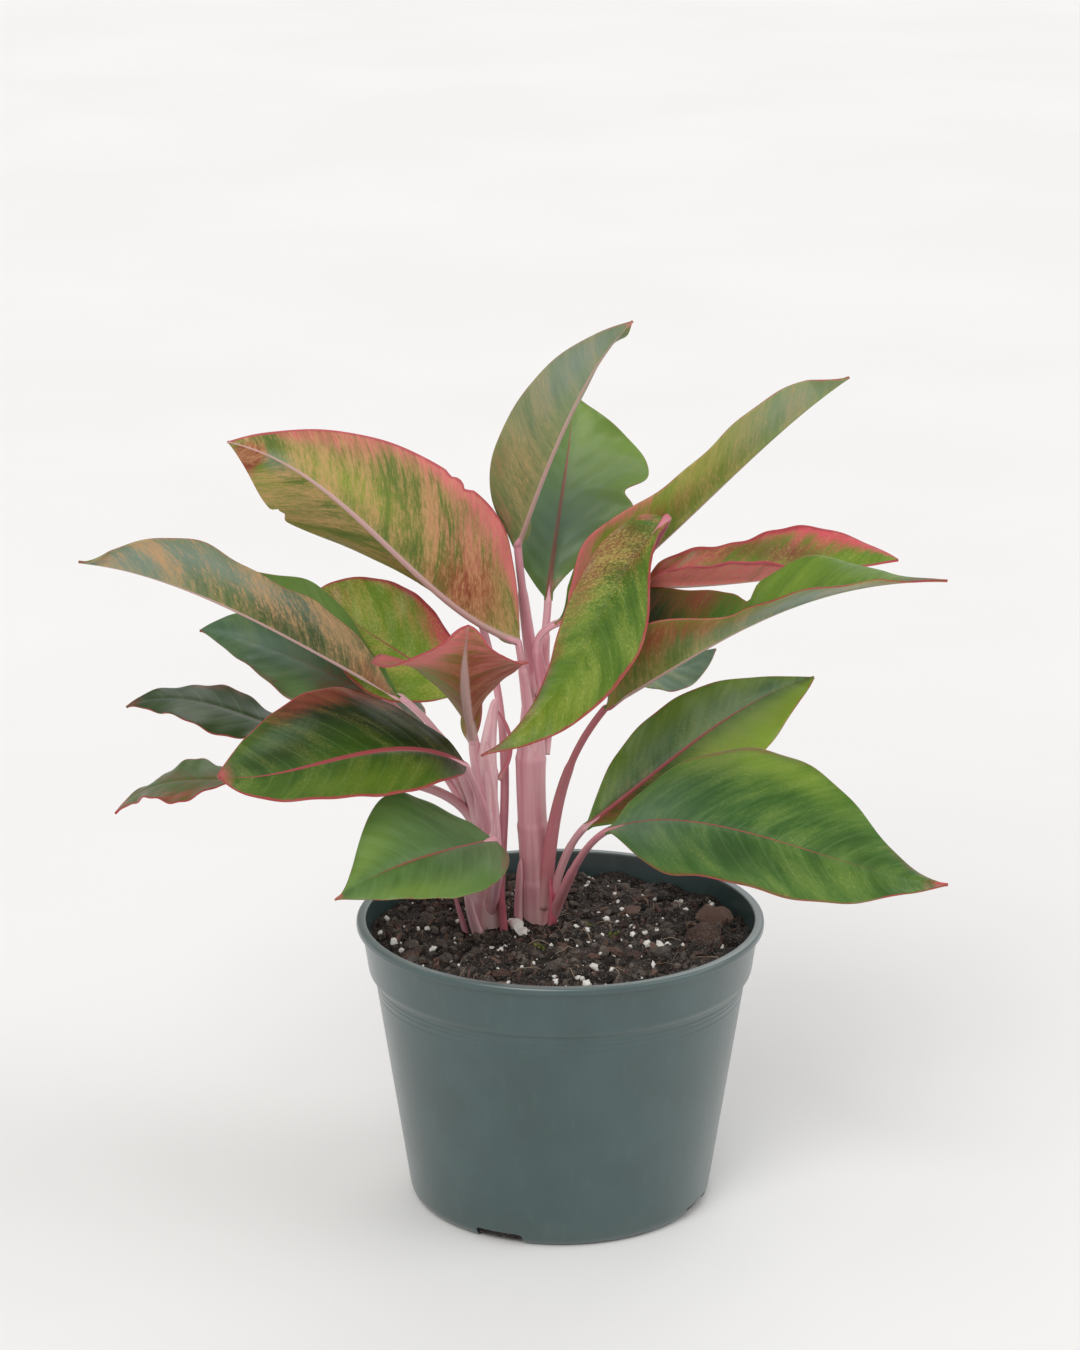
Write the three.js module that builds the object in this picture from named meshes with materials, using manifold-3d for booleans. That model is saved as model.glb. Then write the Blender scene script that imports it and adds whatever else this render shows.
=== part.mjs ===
import * as THREE from 'three';
import { mergeVertices } from 'three/addons/utils/BufferGeometryUtils.js';
import Module from 'manifold-3d';

// A potted aglaonema with pink stalks and pink-edged leaves, in a 6.5 inch nursery pot.
// Millimetres, +Z up, +X to the viewer's right, +Y away from the viewer.
// The origin is the centre of the pot's flat underside.

// Pot: a thin moulded tub with a proud lip over a shallow band.
const POT_HEIGHT = 119;
const LIP_RADIUS = 82.5;
const LIP_DEPTH = 3;
const LIP_OVERHANG = 2.2;
const BAND_DEPTH = 21;
const BAND_DRAFT = 2.6;
const BAND_STEP = 2.6;
const STEP_DEPTH = 3;
const BASE_RADIUS = 61;
const BASE_FILLET = 3;
const LIP_ROUND = 0.6;
const WALL = 1.6;
const FLOOR = 2;
const POT_SIDES = 48;

// Drain slots through the bottom corner, a quarter turn apart.
const DRAIN_FIRST = -24;
const DRAIN_COUNT = 4;
const DRAIN_WIDTH = 20;
const DRAIN_HEIGHT = 5;
const DRAIN_REACH = 7;

// Potting mix: a low mound of peat, with grains of perlite and bark pressed into it.
const SOIL_LEVEL = 110;
const SOIL_RELIEF = 1.4;
const SOIL_SIDES = 36;
const SOIL_RINGS = [66, 50, 34, 18];
const GRAIN_COUNT = 30;
const GRAIN_RADIUS = [1.5, 3.2];
const GRAIN_SEED = 7;
const GRAIN_SPREAD = 72;
const GRAIN_CLEAR = 17;
const GRAIN_FLATNESS = 0.8;
const GRAIN_RISE = 0.2;

// Clearance between pieces that touch.
const GAP = 0.3;

// Leaf blades: a thin sheet with a thicker midrib standing out below.
const BLADE_THICKNESS = 0.8;
const RIB_DEPTH = 1.1;
const RIB_FADE = 0.8;
const BLADE_STEPS = 14;
const BLADE_COLUMNS = [-1, -0.5, 0, 0.5, 1];
const BASE_HALF = 1.6;
const TIP_HALF = 0.4;
const FULL_FOLD_HALF = 9;

// Leaf stalks: round, thick where they sheathe the cane and slim for their last third.
const STALK_SIDES = 7;
const STALK_STEPS = 8;
const STALK_TIP = 1.7;
const STALK_SLIM = 0.7;

// The buried foot of a cane.
const FOOT_SIDES = 16;
const FOOT_DEPTH = 24;
const FOOT_TAPER = 0.8;

// Colours of the pot, the damp mix, the stalks and the leaves.
const POT_COLOUR = 0x4a615e;
const SOIL_COLOUR = 0x2b2320;
const STALK_COLOUR = 0xc98f9c;
const BLADE_COLOUR = 0x54783a;

// The two canes: points up the axis, and the radius at each.
const CANES = {
  shoot_left: {
    axis: [[-30, 15, 111], [-30, 15, 142], [-30, 14, 174], [-26, 16, 206]],
    radius: [7.5, 5, 4.6, 1.6],
  },
  shoot_right: {
    axis: [[-10, 21, 111], [-11, 21, 144], [-12, 20, 179], [-8, 18, 220]],
    radius: [6.5, 6, 6, 4],
  },
};

// One entry for each leaf.
// rib: four points along the midrib, evenly spaced from the blade's base to its tip.
// face: which way the upper side looks, at the base and at the tip.
// left, right: each half as seen from above with the tip ahead. Its full width, how far along
// it is widest, and how slowly it swells from the base and narrows to the tip (1 is a sine).
// fold: degrees that each half rises from flat, at the base and at the tip.
// curl: more degrees gathered from the midrib out to the edge.
// wave: height of the edge's ripple, ripples along the leaf, and where they start.
// lobe: the same for an outline that swells and narrows, as a share of the width.
// stalk: three points from the cane towards the blade, and root, its radius at the cane.
const LEAVES = [
  {
    name: 'blade_01', shoot: 'shoot_right', stalk: [[-11, 18, 180], [-13, 13, 204], [-15, 6, 221]], root: 3.2,
    rib: [[-17, 2, 234], [-53, -12, 262], [-87, -28, 300], [-127, -42, 326]],
    face: [[-0.3, 0.95, 0], [-0.4, 0.85, 0.1]], left: [40, 0.36, 0.6, 1.05], right: [30, 0.6, 0.8, 1],
    fold: [[5, 5], [110, 10]], curl: [5, 10], wave: [1.5, 2, 0.3],
  },
  {
    name: 'blade_02', shoot: 'shoot_right', stalk: [[-9, 20, 200], [-12, 17, 225], [-15, 13, 250]], root: 3.2,
    rib: [[-17, 9, 272], [-6, -6, 306], [9, -20, 343], [27, -30, 370]],
    face: [[0, 0.95, 0.2], [0, 0.9, 0.3]], left: [23, 0.4, 0.8, 1.1], right: [22, 0.35, 0.7, 1.05],
    fold: [[80, 70], [8, 15]], curl: [0, 10], wave: [1, 1.5, 0],
  },
  {
    name: 'blade_03', shoot: 'shoot_right', stalk: [[-7, 22, 205], [-7, 24, 220], [-6, 25, 232]], root: 3.2,
    rib: [[-5, 26, 244], [-1, 36, 274], [3, 47, 299], [5, 60, 322]],
    face: [[0, -1, 0.2], [0, -1, 0.1]], left: [26, 0.45, 0.9, 1.2], right: [34, 0.6, 1.3, 1.3],
    fold: [[15, 15], [12, 10]], curl: [0, 0], wave: [2.5, 2, 0],
  },
  {
    name: 'blade_04', shoot: 'shoot_right', stalk: [[-7, 17, 207], [-9, 14, 222], [-9, 11, 232]], root: 3.2,
    rib: [[-2, 10, 239], [37, 8, 271], [75, 8, 308], [113, 12, 339]],
    face: [[-0.6, 0, 0.8], [-0.6, 0, 0.8]], left: [17, 0.3, 1, 0.7], right: [22, 0.3, 1.3, 0.7],
    fold: [[75, 70], [65, 70]], curl: [0, 10], wave: [1, 2, 0], lobe: [0.25, 1.5, 0],
  },
  {
    name: 'blade_05', shoot: 'shoot_right', stalk: [[-8, 16, 207], [14, 5, 235], [35, 1, 271]], root: 3.2,
    rib: [[41, -6, 286], [17, -28, 256], [-1, -44, 228], [-31, -50, 203]],
    face: [[-0.2, -0.8, 0.5], [-0.2, -0.9, 0.3]], left: [23.5, 0.45, 1.4, 1.2], right: [15, 0.2, 0.5, 1.5],
    fold: [[15, 15], [25, 20]], curl: [10, 0], wave: [1.5, 2, 0],
  },
  {
    name: 'blade_06', shoot: 'shoot_right', stalk: [[-4, 22, 205], [8, 16, 225], [22, 7, 246]], root: 3,
    rib: [[34, 2, 257], [65, -4, 260], [96, -5, 264], [133, 0, 268]],
    face: [[0, -0.4, 0.9], [0, -0.3, 0.9]], left: [21, 0.72, 0.35, 0.75], right: [13, 0.3, 0.5, 1],
    fold: [[25, 20], [80, 30]], curl: [0, 20], wave: [1.5, 2, 0],
  },
  {
    name: 'blade_07', shoot: 'shoot_right', stalk: [[-7, 18, 116], [-3, 14, 151], [4, 6, 181]], root: 3.2,
    rib: [[18, -6, 209], [54, -28, 239], [96, -40, 263], [148, -45, 272]],
    face: [[-0.3, 0, 0.9], [-0.1, 0, 1]], left: [26, 0.3, 0.45, 1], right: [21, 0.4, 0.7, 1],
    fold: [[70, 12], [80, 5]], curl: [0, 0], wave: [1.5, 2, 1], lobe: [0.45, 1.92, -1.08],
  },
  {
    name: 'blade_08', shoot: 'shoot_right', stalk: [[-7, 24, 180], [-4, 28, 200], [0, 32, 214]], root: 2.8,
    rib: [[6, 36, 222], [25, 52, 211], [45, 64, 204], [65, 76, 209]],
    face: [[0, -0.5, 0.85], [0, -0.5, 0.85]], left: [15, 0.5, 0.8, 0.9], right: [14, 0.5, 0.8, 0.9],
    fold: [[10, 10], [0, 0]], curl: [0, 0], wave: [1, 2, 0],
  },
  {
    name: 'blade_09', shoot: 'shoot_right', stalk: [[-5, 18, 112], [0, 12, 134], [5, 6, 148]], root: 1.8,
    rib: [[10, 2, 156], [40, 10, 178], [70, 14, 200], [102, 16, 215]],
    face: [[-0.3, -0.8, 0.5], [-0.3, -0.8, 0.5]], left: [20, 0.42, 1, 1.2], right: [27, 0.5, 1, 0.8],
    fold: [[5, 5], [20, 15]], curl: [5, 0], wave: [1.5, 2, 0],
  },
  {
    name: 'blade_10', shoot: 'shoot_right', stalk: [[-5, 17, 108], [1, 8, 126], [8, -9, 147]], root: 2.6,
    rib: [[18, -26, 164], [58, -50, 175], [104, -66, 167], [148, -80, 161]],
    face: [[0, -0.6, 0.8], [0.1, -0.6, 0.8]], left: [41, 0.4, 1.2, 1.6], right: [31, 0.36, 1.1, 0.95],
    fold: [[8, 5], [8, 5]], curl: [-10, 0], wave: [2, 2, 0],
  },
  {
    name: 'blade_11', shoot: 'shoot_left', stalk: [[-30, 14, 142], [-31, 8, 159], [-34, -2, 174]], root: 2.8,
    rib: [[-38, -12, 187], [-69, -40, 202], [-101, -60, 201], [-131, -75, 203]],
    face: [[0, -0.6, 0.8], [0, -0.7, 0.7]], left: [22, 0.35, 0.6, 0.8], right: [33, 0.42, 0.8, 0.75],
    fold: [[5, 5], [5, 5]], curl: [0, -10], wave: [1.5, 2, 0],
  },
  {
    name: 'blade_12', shoot: 'shoot_left', stalk: [[-29, 12, 115], [-26, 2, 133], [-25, -8, 149]], root: 2.6,
    rib: [[-27, -16, 157], [-47, -45, 162], [-68, -62, 160], [-87, -75, 153]],
    face: [[0, -0.7, 0.7], [0, -0.7, 0.7]], left: [23, 0.3, 0.5, 1], right: [29, 0.42, 0.8, 1.9],
    fold: [[5, 5], [10, 5]], curl: [0, 0], wave: [1, 2, 0],
  },
  {
    name: 'blade_13', shoot: 'shoot_left', stalk: [[-33, 17, 150], [-42, 21, 173], [-70, 25, 183]], root: 2.6,
    rib: [[-106, 28, 187], [-128, 34, 193], [-153, 40, 198], [-178, 46, 193]],
    face: [[0, -0.2, 1], [0, -0.2, 1]], left: [19, 0.5, 0.8, 1.2], right: [15, 0.6, 0.7, 1],
    fold: [[0, 0], [0, 0]], curl: [0, 0], wave: [1.5, 2, 0],
  },
  {
    name: 'blade_14', shoot: 'shoot_left', stalk: [[-34, 14, 142], [-46, 15, 165], [-82, 16, 173]], root: 2.4,
    rib: [[-130, 16, 172], [-148, 20, 170], [-165, 24, 166], [-182, 28, 153]],
    face: [[0, -0.1, 1], [0, -0.1, 1]], left: [20, 0.4, 0.8, 1.3], right: [20, 0.4, 0.8, 1.2],
    fold: [[0, 0], [0, 0]], curl: [0, 0], wave: [1.5, 2, 0],
  },
  {
    name: 'blade_15', shoot: 'shoot_left', stalk: [[-33, 14, 150], [-38, 12, 172], [-49, 9, 193]], root: 3,
    rib: [[-64, 5, 210], [-105, 0, 235], [-146, -5, 257], [-189, -10, 270]],
    face: [[0.3, 0, 0.9], [0.3, 0, 0.9]], left: [22, 0.6, 0.7, 0.8], right: [26, 0.3, 0.9, 1.5],
    fold: [[75, 75], [38, 38]], curl: [0, 0], wave: [1.5, 2, 0], lobe: [0.15, 2, 4],
  },
  {
    name: 'blade_16', shoot: 'shoot_left', stalk: [[-33, 16, 152], [-40, 20, 168], [-53, 25, 185]], root: 2.8,
    rib: [[-71, 28, 202], [-96, 34, 212], [-121, 40, 221], [-147, 45, 226]],
    face: [[0.1, -0.6, 0.8], [0.1, -0.6, 0.8]], left: [20, 0.35, 0.7, 1.1], right: [22, 0.5, 0.8, 0.9],
    fold: [[5, 5], [5, 5]], curl: [0, 0], wave: [1.5, 2, 0],
  },
  {
    name: 'blade_17', shoot: 'shoot_left', stalk: [[-31, 15, 160], [-33, 16, 178], [-36, 19, 194]], root: 3,
    rib: [[-40, 22, 208], [-60, 26, 219], [-79, 28, 231], [-101, 32, 243]],
    face: [[0, -0.8, 0.6], [0, -0.8, 0.6]], left: [22, 0.5, 0.6, 0.8], right: [24, 0.6, 0.5, 0.55],
    fold: [[5, 5], [5, 5]], curl: [0, 0], wave: [1.5, 2, 0],
  },
  {
    name: 'blade_18', shoot: 'shoot_left', stalk: [[-31, 14, 138], [-32, 9, 161], [-34, 2, 180]], root: 2.8,
    rib: [[-35, -5, 194], [-37, -28, 217], [-37, -58, 242], [-35, -90, 267]],
    face: [[0, 0.7, 0.7], [0, 0.6, 0.8]], left: [25, 0.65, 1.2, 0.8], right: [36, 0.62, 0.9, 1],
    fold: [[75, -35], [75, -35]], curl: [0, 0], wave: [1, 2, 0],
  },
  {
    name: 'blade_19', shoot: 'shoot_left', stalk: [[-24, 17, 113], [-23, 20, 150], [-24, 28, 195]], root: 1.8,
    rib: [[-39, 45, 249], [-55, 60, 258], [-72, 78, 267], [-89, 95, 277]],
    face: [[0, -0.4, 1], [0, 0.3, 1]], left: [17, 0.42, 0.7, 1.1], right: [17, 0.42, 0.7, 1.1],
    fold: [[20, 10], [20, 10]], curl: [0, 0], wave: [1.5, 2, 0],
  },
  {
    name: 'blade_20', shoot: 'shoot_left', stalk: [[-32, 18, 146], [-41, 28, 161], [-50, 38, 171]], root: 2.6,
    rib: [[-60, 50, 178], [-76, 72, 181], [-92, 94, 174], [-106, 112, 158]],
    face: [[0, 0, 1], [0, 0.3, 1]], left: [24, 0.42, 0.7, 1.1], right: [22, 0.42, 0.7, 1.1],
    fold: [[15, 10], [15, 10]], curl: [0, 0], wave: [1.5, 2, 0],
  },
];

const wasm = await Module();
wasm.setup();

const rad = THREE.MathUtils.degToRad;
const vector = (xyz) => new THREE.Vector3(...xyz);

// Signed volume of a closed triangle mesh: negative when it is inside out.
function signedVolume(positions, indices) {
  const [a, b, c] = [new THREE.Vector3(), new THREE.Vector3(), new THREE.Vector3()];
  let volume = 0;
  for (let i = 0; i < indices.length; i += 3) {
    a.fromArray(positions, 3 * indices[i]);
    b.fromArray(positions, 3 * indices[i + 1]);
    c.fromArray(positions, 3 * indices[i + 2]);
    volume += a.dot(b.cross(c)) / 6;
  }
  return volume;
}

// An indexed geometry from points and triangles, turned so that its faces look out.
function shell(positions, indices) {
  const flat = Float32Array.from(positions);
  if (signedVolume(flat, indices) < 0) indices.reverse();
  const geometry = new THREE.BufferGeometry();
  geometry.setAttribute('position', new THREE.BufferAttribute(flat, 3));
  geometry.setIndex(indices);
  return geometry;
}

// A stock geometry with its shared corners merged.
function welded(geometry) {
  const bare = geometry.clone();
  bare.deleteAttribute('normal');
  bare.deleteAttribute('uv');
  const merged = mergeVertices(bare, 1e-4);
  return shell(merged.attributes.position.array, Array.from(merged.index.array));
}

function toSolid(geometry) {
  return new wasm.Manifold(new wasm.Mesh({
    numProp: 3,
    vertProperties: new Float32Array(geometry.attributes.position.array),
    triVerts: new Uint32Array(geometry.index.array),
  }));
}

function toGeometry(solid) {
  const mesh = solid.getMesh();
  return shell(mesh.vertProperties, Array.from(mesh.triVerts));
}

function join(solids) {
  return solids.reduce((whole, piece) => whole.add(piece));
}

// The cubic that passes through four points at t = 0, 1/3, 2/3 and 1.
function cubic(points, t) {
  const weights = [
    (1 - 3 * t) * (2 - 3 * t) * (1 - t) / 2,
    9 * t * (2 - 3 * t) * (1 - t) / 2,
    9 * t * (3 * t - 1) * (1 - t) / 2,
    t * (3 * t - 1) * (3 * t - 2) / 2,
  ];
  const sum = new THREE.Vector3();
  points.forEach((point, i) => sum.addScaledVector(vector(point), weights[i]));
  return sum;
}

function heading(points, t) {
  const step = 1e-3;
  return cubic(points, t + step).sub(cubic(points, t - step)).normalize();
}

// Half the blade's width at u: it swells from the base to the widest place, then narrows to the tip.
function halfWidth(leaf, side, u) {
  const [half, widest, swell, taper] = side === 0 ? leaf.left : leaf.right;
  const rise = Math.sin(Math.PI / 2 * Math.min(1, u / widest)) ** swell;
  const fall = Math.sin(Math.PI / 2 * Math.min(1, (1 - u) / (1 - widest))) ** taper;
  const [amount, count, shift] = leaf.lobe ?? [0, 0, 0];
  const sway = 1 + amount * Math.sin(2 * Math.PI * count * u + shift);
  return Math.max(half * rise * fall * sway, BASE_HALF + (TIP_HALF - BASE_HALF) * u);
}

// A point of the blade's middle surface: u runs base to tip, v from the left edge to the right.
// Each half is an arc that leaves the midrib at the fold angle and bends on by the curl.
function bladePoint(leaf, u, v) {
  const along = heading(leaf.rib, u);
  const up = vector(leaf.face[0]).lerp(vector(leaf.face[1]), u);
  up.addScaledVector(along, -up.dot(along)).normalize();
  const across = along.clone().cross(up);
  const side = v < 0 ? 0 : 1;
  const reach = Math.abs(v);
  const width = halfWidth(leaf, side, u);
  const fullness = Math.min(1, width / FULL_FOLD_HALF);
  const start = rad(THREE.MathUtils.lerp(leaf.fold[side][0], leaf.fold[side][1], u)) * fullness;
  const bend = rad(leaf.curl[side]) || 1e-6;
  const out = width * (Math.sin(start + bend * reach) - Math.sin(start)) / bend;
  const [height, count, shift] = leaf.wave;
  const ripple = height * fullness * reach * reach * Math.sin(2 * Math.PI * count * u + shift + 2 * side);
  const lift = width * (Math.cos(start) - Math.cos(start + bend * reach)) / bend + ripple;
  return cubic(leaf.rib, u)
    .addScaledVector(across, Math.sign(v) * out)
    .addScaledVector(up, lift);
}

function bladeNormal(leaf, u, v) {
  const step = 0.01;
  const [u0, u1] = [Math.max(0, u - step), Math.min(1, u + step)];
  const [v0, v1] = [Math.max(-1, v - step), Math.min(1, v + step)];
  const alongU = bladePoint(leaf, u1, v).sub(bladePoint(leaf, u0, v));
  const alongV = bladePoint(leaf, u, v1).sub(bladePoint(leaf, u, v0));
  return alongV.cross(alongU).normalize();
}

// The closed sheet between the upper and lower surfaces, split into triangles alike on both.
function bladeGeometry(leaf) {
  const columns = BLADE_COLUMNS.length;
  const rows = BLADE_STEPS + 1;
  const upper = [];
  const lower = [];
  for (let i = 0; i < rows; i += 1) {
    const t = i / BLADE_STEPS;
    const u = 0.4 * t + 0.6 * (1 - Math.cos(Math.PI * t)) / 2;
    BLADE_COLUMNS.forEach((v) => {
      const middle = bladePoint(leaf, u, v);
      const normal = bladeNormal(leaf, u, v);
      const keel = v === 0 ? RIB_DEPTH * (1 - RIB_FADE * u) : 0;
      upper.push(...middle.clone().addScaledVector(normal, BLADE_THICKNESS / 2));
      lower.push(...middle.addScaledVector(normal, -BLADE_THICKNESS / 2 - keel));
    });
  }
  const top = (i, j) => i * columns + j;
  const under = (i, j) => rows * columns + top(i, j);
  const indices = [];
  const quad = (a, b, c, d) => indices.push(a, b, c, a, c, d);
  for (let i = 0; i + 1 < rows; i += 1) {
    for (let j = 0; j + 1 < columns; j += 1) {
      quad(top(i, j), top(i, j + 1), top(i + 1, j + 1), top(i + 1, j));
      indices.push(under(i, j), under(i + 1, j + 1), under(i, j + 1));
      indices.push(under(i, j), under(i + 1, j), under(i + 1, j + 1));
    }
    quad(top(i, 0), top(i + 1, 0), under(i + 1, 0), under(i, 0));
    quad(top(i, columns - 1), under(i, columns - 1), under(i + 1, columns - 1), top(i + 1, columns - 1));
  }
  for (let j = 0; j + 1 < columns; j += 1) {
    quad(top(0, j), under(0, j), under(0, j + 1), top(0, j + 1));
    quad(top(rows - 1, j), top(rows - 1, j + 1), under(rows - 1, j + 1), under(rows - 1, j));
  }
  return shell([...upper, ...lower], indices);
}

// A round tapered rod along a cubic, closed by flat ends. The last ring faces along endHeading.
function rodGeometry(points, radiusAt, endHeading, extra = 0) {
  const positions = [];
  const indices = [];
  const across = new THREE.Vector3(1, 0, 0);
  for (let i = 0; i <= STALK_STEPS; i += 1) {
    const t = i / STALK_STEPS;
    const last = i === STALK_STEPS && endHeading;
    const along = last ? endHeading.clone() : heading(points, t);
    across.addScaledVector(along, -across.dot(along)).normalize();
    const up = along.clone().cross(across);
    const centre = cubic(points, t);
    for (let k = 0; k < STALK_SIDES; k += 1) {
      const angle = 2 * Math.PI * k / STALK_SIDES;
      const radius = radiusAt(t) + extra;
      positions.push(...centre.clone()
        .addScaledVector(across, radius * Math.cos(angle))
        .addScaledVector(up, radius * Math.sin(angle)));
    }
  }
  const corner = (i, k) => i * STALK_SIDES + (k % STALK_SIDES);
  for (let i = 0; i < STALK_STEPS; i += 1) {
    for (let k = 0; k < STALK_SIDES; k += 1) {
      indices.push(corner(i, k), corner(i, k + 1), corner(i + 1, k + 1));
      indices.push(corner(i, k), corner(i + 1, k + 1), corner(i + 1, k));
    }
  }
  for (let k = 1; k + 1 < STALK_SIDES; k += 1) {
    indices.push(corner(0, 0), corner(0, k + 1), corner(0, k));
    indices.push(corner(STALK_STEPS, 0), corner(STALK_STEPS, k), corner(STALK_STEPS, k + 1));
  }
  return shell(positions, indices);
}

// The stalk of one leaf: it stops just short of the blade's first section.
function stalkSolid(leaf, extra) {
  const ahead = heading(leaf.rib, 0);
  const end = vector(leaf.rib[0]).addScaledVector(ahead, -GAP);
  const points = [...leaf.stalk, end.toArray()];
  const radiusAt = (t) => THREE.MathUtils.lerp(leaf.root, STALK_TIP, Math.min(1, t / STALK_SLIM));
  return toSolid(rodGeometry(points, radiusAt, ahead, extra));
}

// A cane with its buried foot and the stalks that spring from it, as one body.
function shootSolid(name, extra = 0) {
  const { axis, radius } = CANES[name];
  const radiusAt = (t) => {
    const place = Math.min(2.999, 3 * t);
    const k = Math.floor(place);
    return THREE.MathUtils.lerp(radius[k], radius[k + 1], place - k);
  };
  const footTop = radius[0] + extra;
  const footEnd = radius[0] * FOOT_TAPER + extra;
  const foot = new THREE.CylinderGeometry(footTop, footEnd, FOOT_DEPTH + extra, FOOT_SIDES);
  foot.rotateX(Math.PI / 2);
  foot.translate(axis[0][0], axis[0][1], axis[0][2] - FOOT_DEPTH / 2 + 1 - extra / 2);
  const stalks = LEAVES.filter((leaf) => leaf.shoot === name).map((leaf) => stalkSolid(leaf, extra));
  return join([toSolid(rodGeometry(axis, radiusAt, null, extra)), toSolid(welded(foot)), ...stalks]);
}

// The outer outline of the pot, from the axis below, out and up to the lip.
function potProfile() {
  const bandTop = LIP_RADIUS - LIP_OVERHANG;
  const bandFoot = bandTop - BAND_DRAFT;
  const bandHeight = POT_HEIGHT - BAND_DEPTH;
  const wallTop = bandFoot - BAND_STEP;
  const wallHeight = bandHeight - STEP_DEPTH;
  const slope = (wallTop - BASE_RADIUS) / wallHeight;
  const inside = (z) => BASE_RADIUS + slope * z - WALL;
  const points = [
    [0, 0],
    [BASE_RADIUS - BASE_FILLET, 0],
    [BASE_RADIUS - BASE_FILLET / 3, BASE_FILLET / 3],
    [BASE_RADIUS + slope * BASE_FILLET, BASE_FILLET],
    [wallTop, wallHeight],
    [bandFoot, bandHeight],
    [bandTop, POT_HEIGHT - LIP_DEPTH],
    [LIP_RADIUS, POT_HEIGHT - LIP_DEPTH],
    [LIP_RADIUS, POT_HEIGHT - LIP_ROUND],
    [LIP_RADIUS - LIP_ROUND, POT_HEIGHT],
    [bandTop - WALL, POT_HEIGHT],
    [bandFoot - WALL, bandHeight],
    [wallTop - WALL, wallHeight],
    [inside(FLOOR), FLOOR],
    [0, FLOOR],
  ];
  return { points, inside, wallTop, wallHeight, bandFoot, bandTop, bandHeight };
}

// A profile of radius and height turned about the vertical axis.
function turned(points, sides) {
  const profile = points.map(([r, z]) => new THREE.Vector2(r, z));
  const lathe = new THREE.LatheGeometry(profile, sides);
  lathe.rotateX(Math.PI / 2);
  return welded(lathe);
}

function potSolid() {
  let pot = toSolid(turned(potProfile().points, POT_SIDES));
  for (let i = 0; i < DRAIN_COUNT; i += 1) {
    const slot = new THREE.BoxGeometry(DRAIN_WIDTH, 2 * DRAIN_REACH, 2 * DRAIN_HEIGHT);
    slot.translate(0, -BASE_RADIUS, 0);
    slot.rotateZ(rad(DRAIN_FIRST + 360 * i / DRAIN_COUNT));
    pot = pot.subtract(toSolid(welded(slot)));
  }
  return pot;
}

// Repeatable random numbers from 0 to 1.
function seeded(seed) {
  let state = seed;
  return () => {
    state = (state * 16807) % 2147483647;
    return state / 2147483647;
  };
}

function soilHeight(x, y) {
  const swell = Math.sin(0.09 * x + 1) * Math.cos(0.11 * y) + 0.6 * Math.sin(0.21 * x - 0.17 * y + 2);
  return SOIL_LEVEL + SOIL_RELIEF * swell;
}

function soilSolid() {
  const { inside, wallTop, wallHeight, bandFoot, bandTop, bandHeight } = potProfile();
  const fill = (SOIL_LEVEL - bandHeight) / (POT_HEIGHT - LIP_DEPTH - bandHeight);
  const edge = bandFoot + (bandTop - bandFoot) * fill - WALL - GAP;
  const low = FLOOR + GAP;
  const profile = [
    [0, low],
    [inside(low) - GAP, low],
    [wallTop - WALL - GAP, wallHeight],
    [bandFoot - WALL - GAP, bandHeight + GAP],
    [edge - GAP, SOIL_LEVEL],
    ...SOIL_RINGS.map((r) => [r, SOIL_LEVEL]),
    [0, SOIL_LEVEL],
  ];
  const body = turned(profile, SOIL_SIDES);
  const position = body.attributes.position;
  for (let i = 0; i < position.count; i += 1) {
    if (position.getZ(i) === SOIL_LEVEL) {
      position.setZ(i, soilHeight(position.getX(i), position.getY(i)));
    }
  }
  const random = seeded(GRAIN_SEED);
  const grains = [];
  for (let i = 0; i < GRAIN_COUNT; i += 1) {
    const angle = 2 * Math.PI * random();
    const reach = GRAIN_SPREAD * Math.sqrt(random());
    const radius = GRAIN_RADIUS[0] + (GRAIN_RADIUS[1] - GRAIN_RADIUS[0]) * random() ** 2;
    const [x, y] = [reach * Math.cos(angle), reach * Math.sin(angle)];
    const toCane = Object.values(CANES).map(({ axis }) => Math.hypot(x - axis[0][0], y - axis[0][1]));
    if (Math.min(...toCane) < GRAIN_CLEAR) continue;
    const grain = new THREE.DodecahedronGeometry(radius);
    grain.scale(1 + 0.5 * random(), 1, GRAIN_FLATNESS);
    grain.rotateZ(Math.PI * random());
    grain.translate(x, y, soilHeight(x, y) + GRAIN_RISE * radius);
    grains.push(toSolid(welded(grain)));
  }
  return join([toSolid(body), ...grains]);
}

function piece(name, geometry, colour, roughness) {
  const material = new THREE.MeshStandardMaterial({ color: colour, roughness, metalness: 0 });
  const mesh = new THREE.Mesh(geometry, material);
  mesh.name = name;
  return mesh;
}

const plant = new THREE.Group();
plant.add(piece('pot', toGeometry(potSolid()), POT_COLOUR, 0.45));

let soil = soilSolid();
Object.keys(CANES).forEach((name) => {
  soil = soil.subtract(shootSolid(name, GAP));
  plant.add(piece(name, toGeometry(shootSolid(name)), STALK_COLOUR, 0.5));
});
plant.add(piece('soil', toGeometry(soil), SOIL_COLOUR, 0.95));

LEAVES.forEach((leaf) => {
  plant.add(piece(leaf.name, bladeGeometry(leaf), BLADE_COLOUR, 0.45));
});

export default plant;
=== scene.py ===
import math

import bmesh
import bpy
import numpy as np
from mathutils import Matrix, Vector


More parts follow.
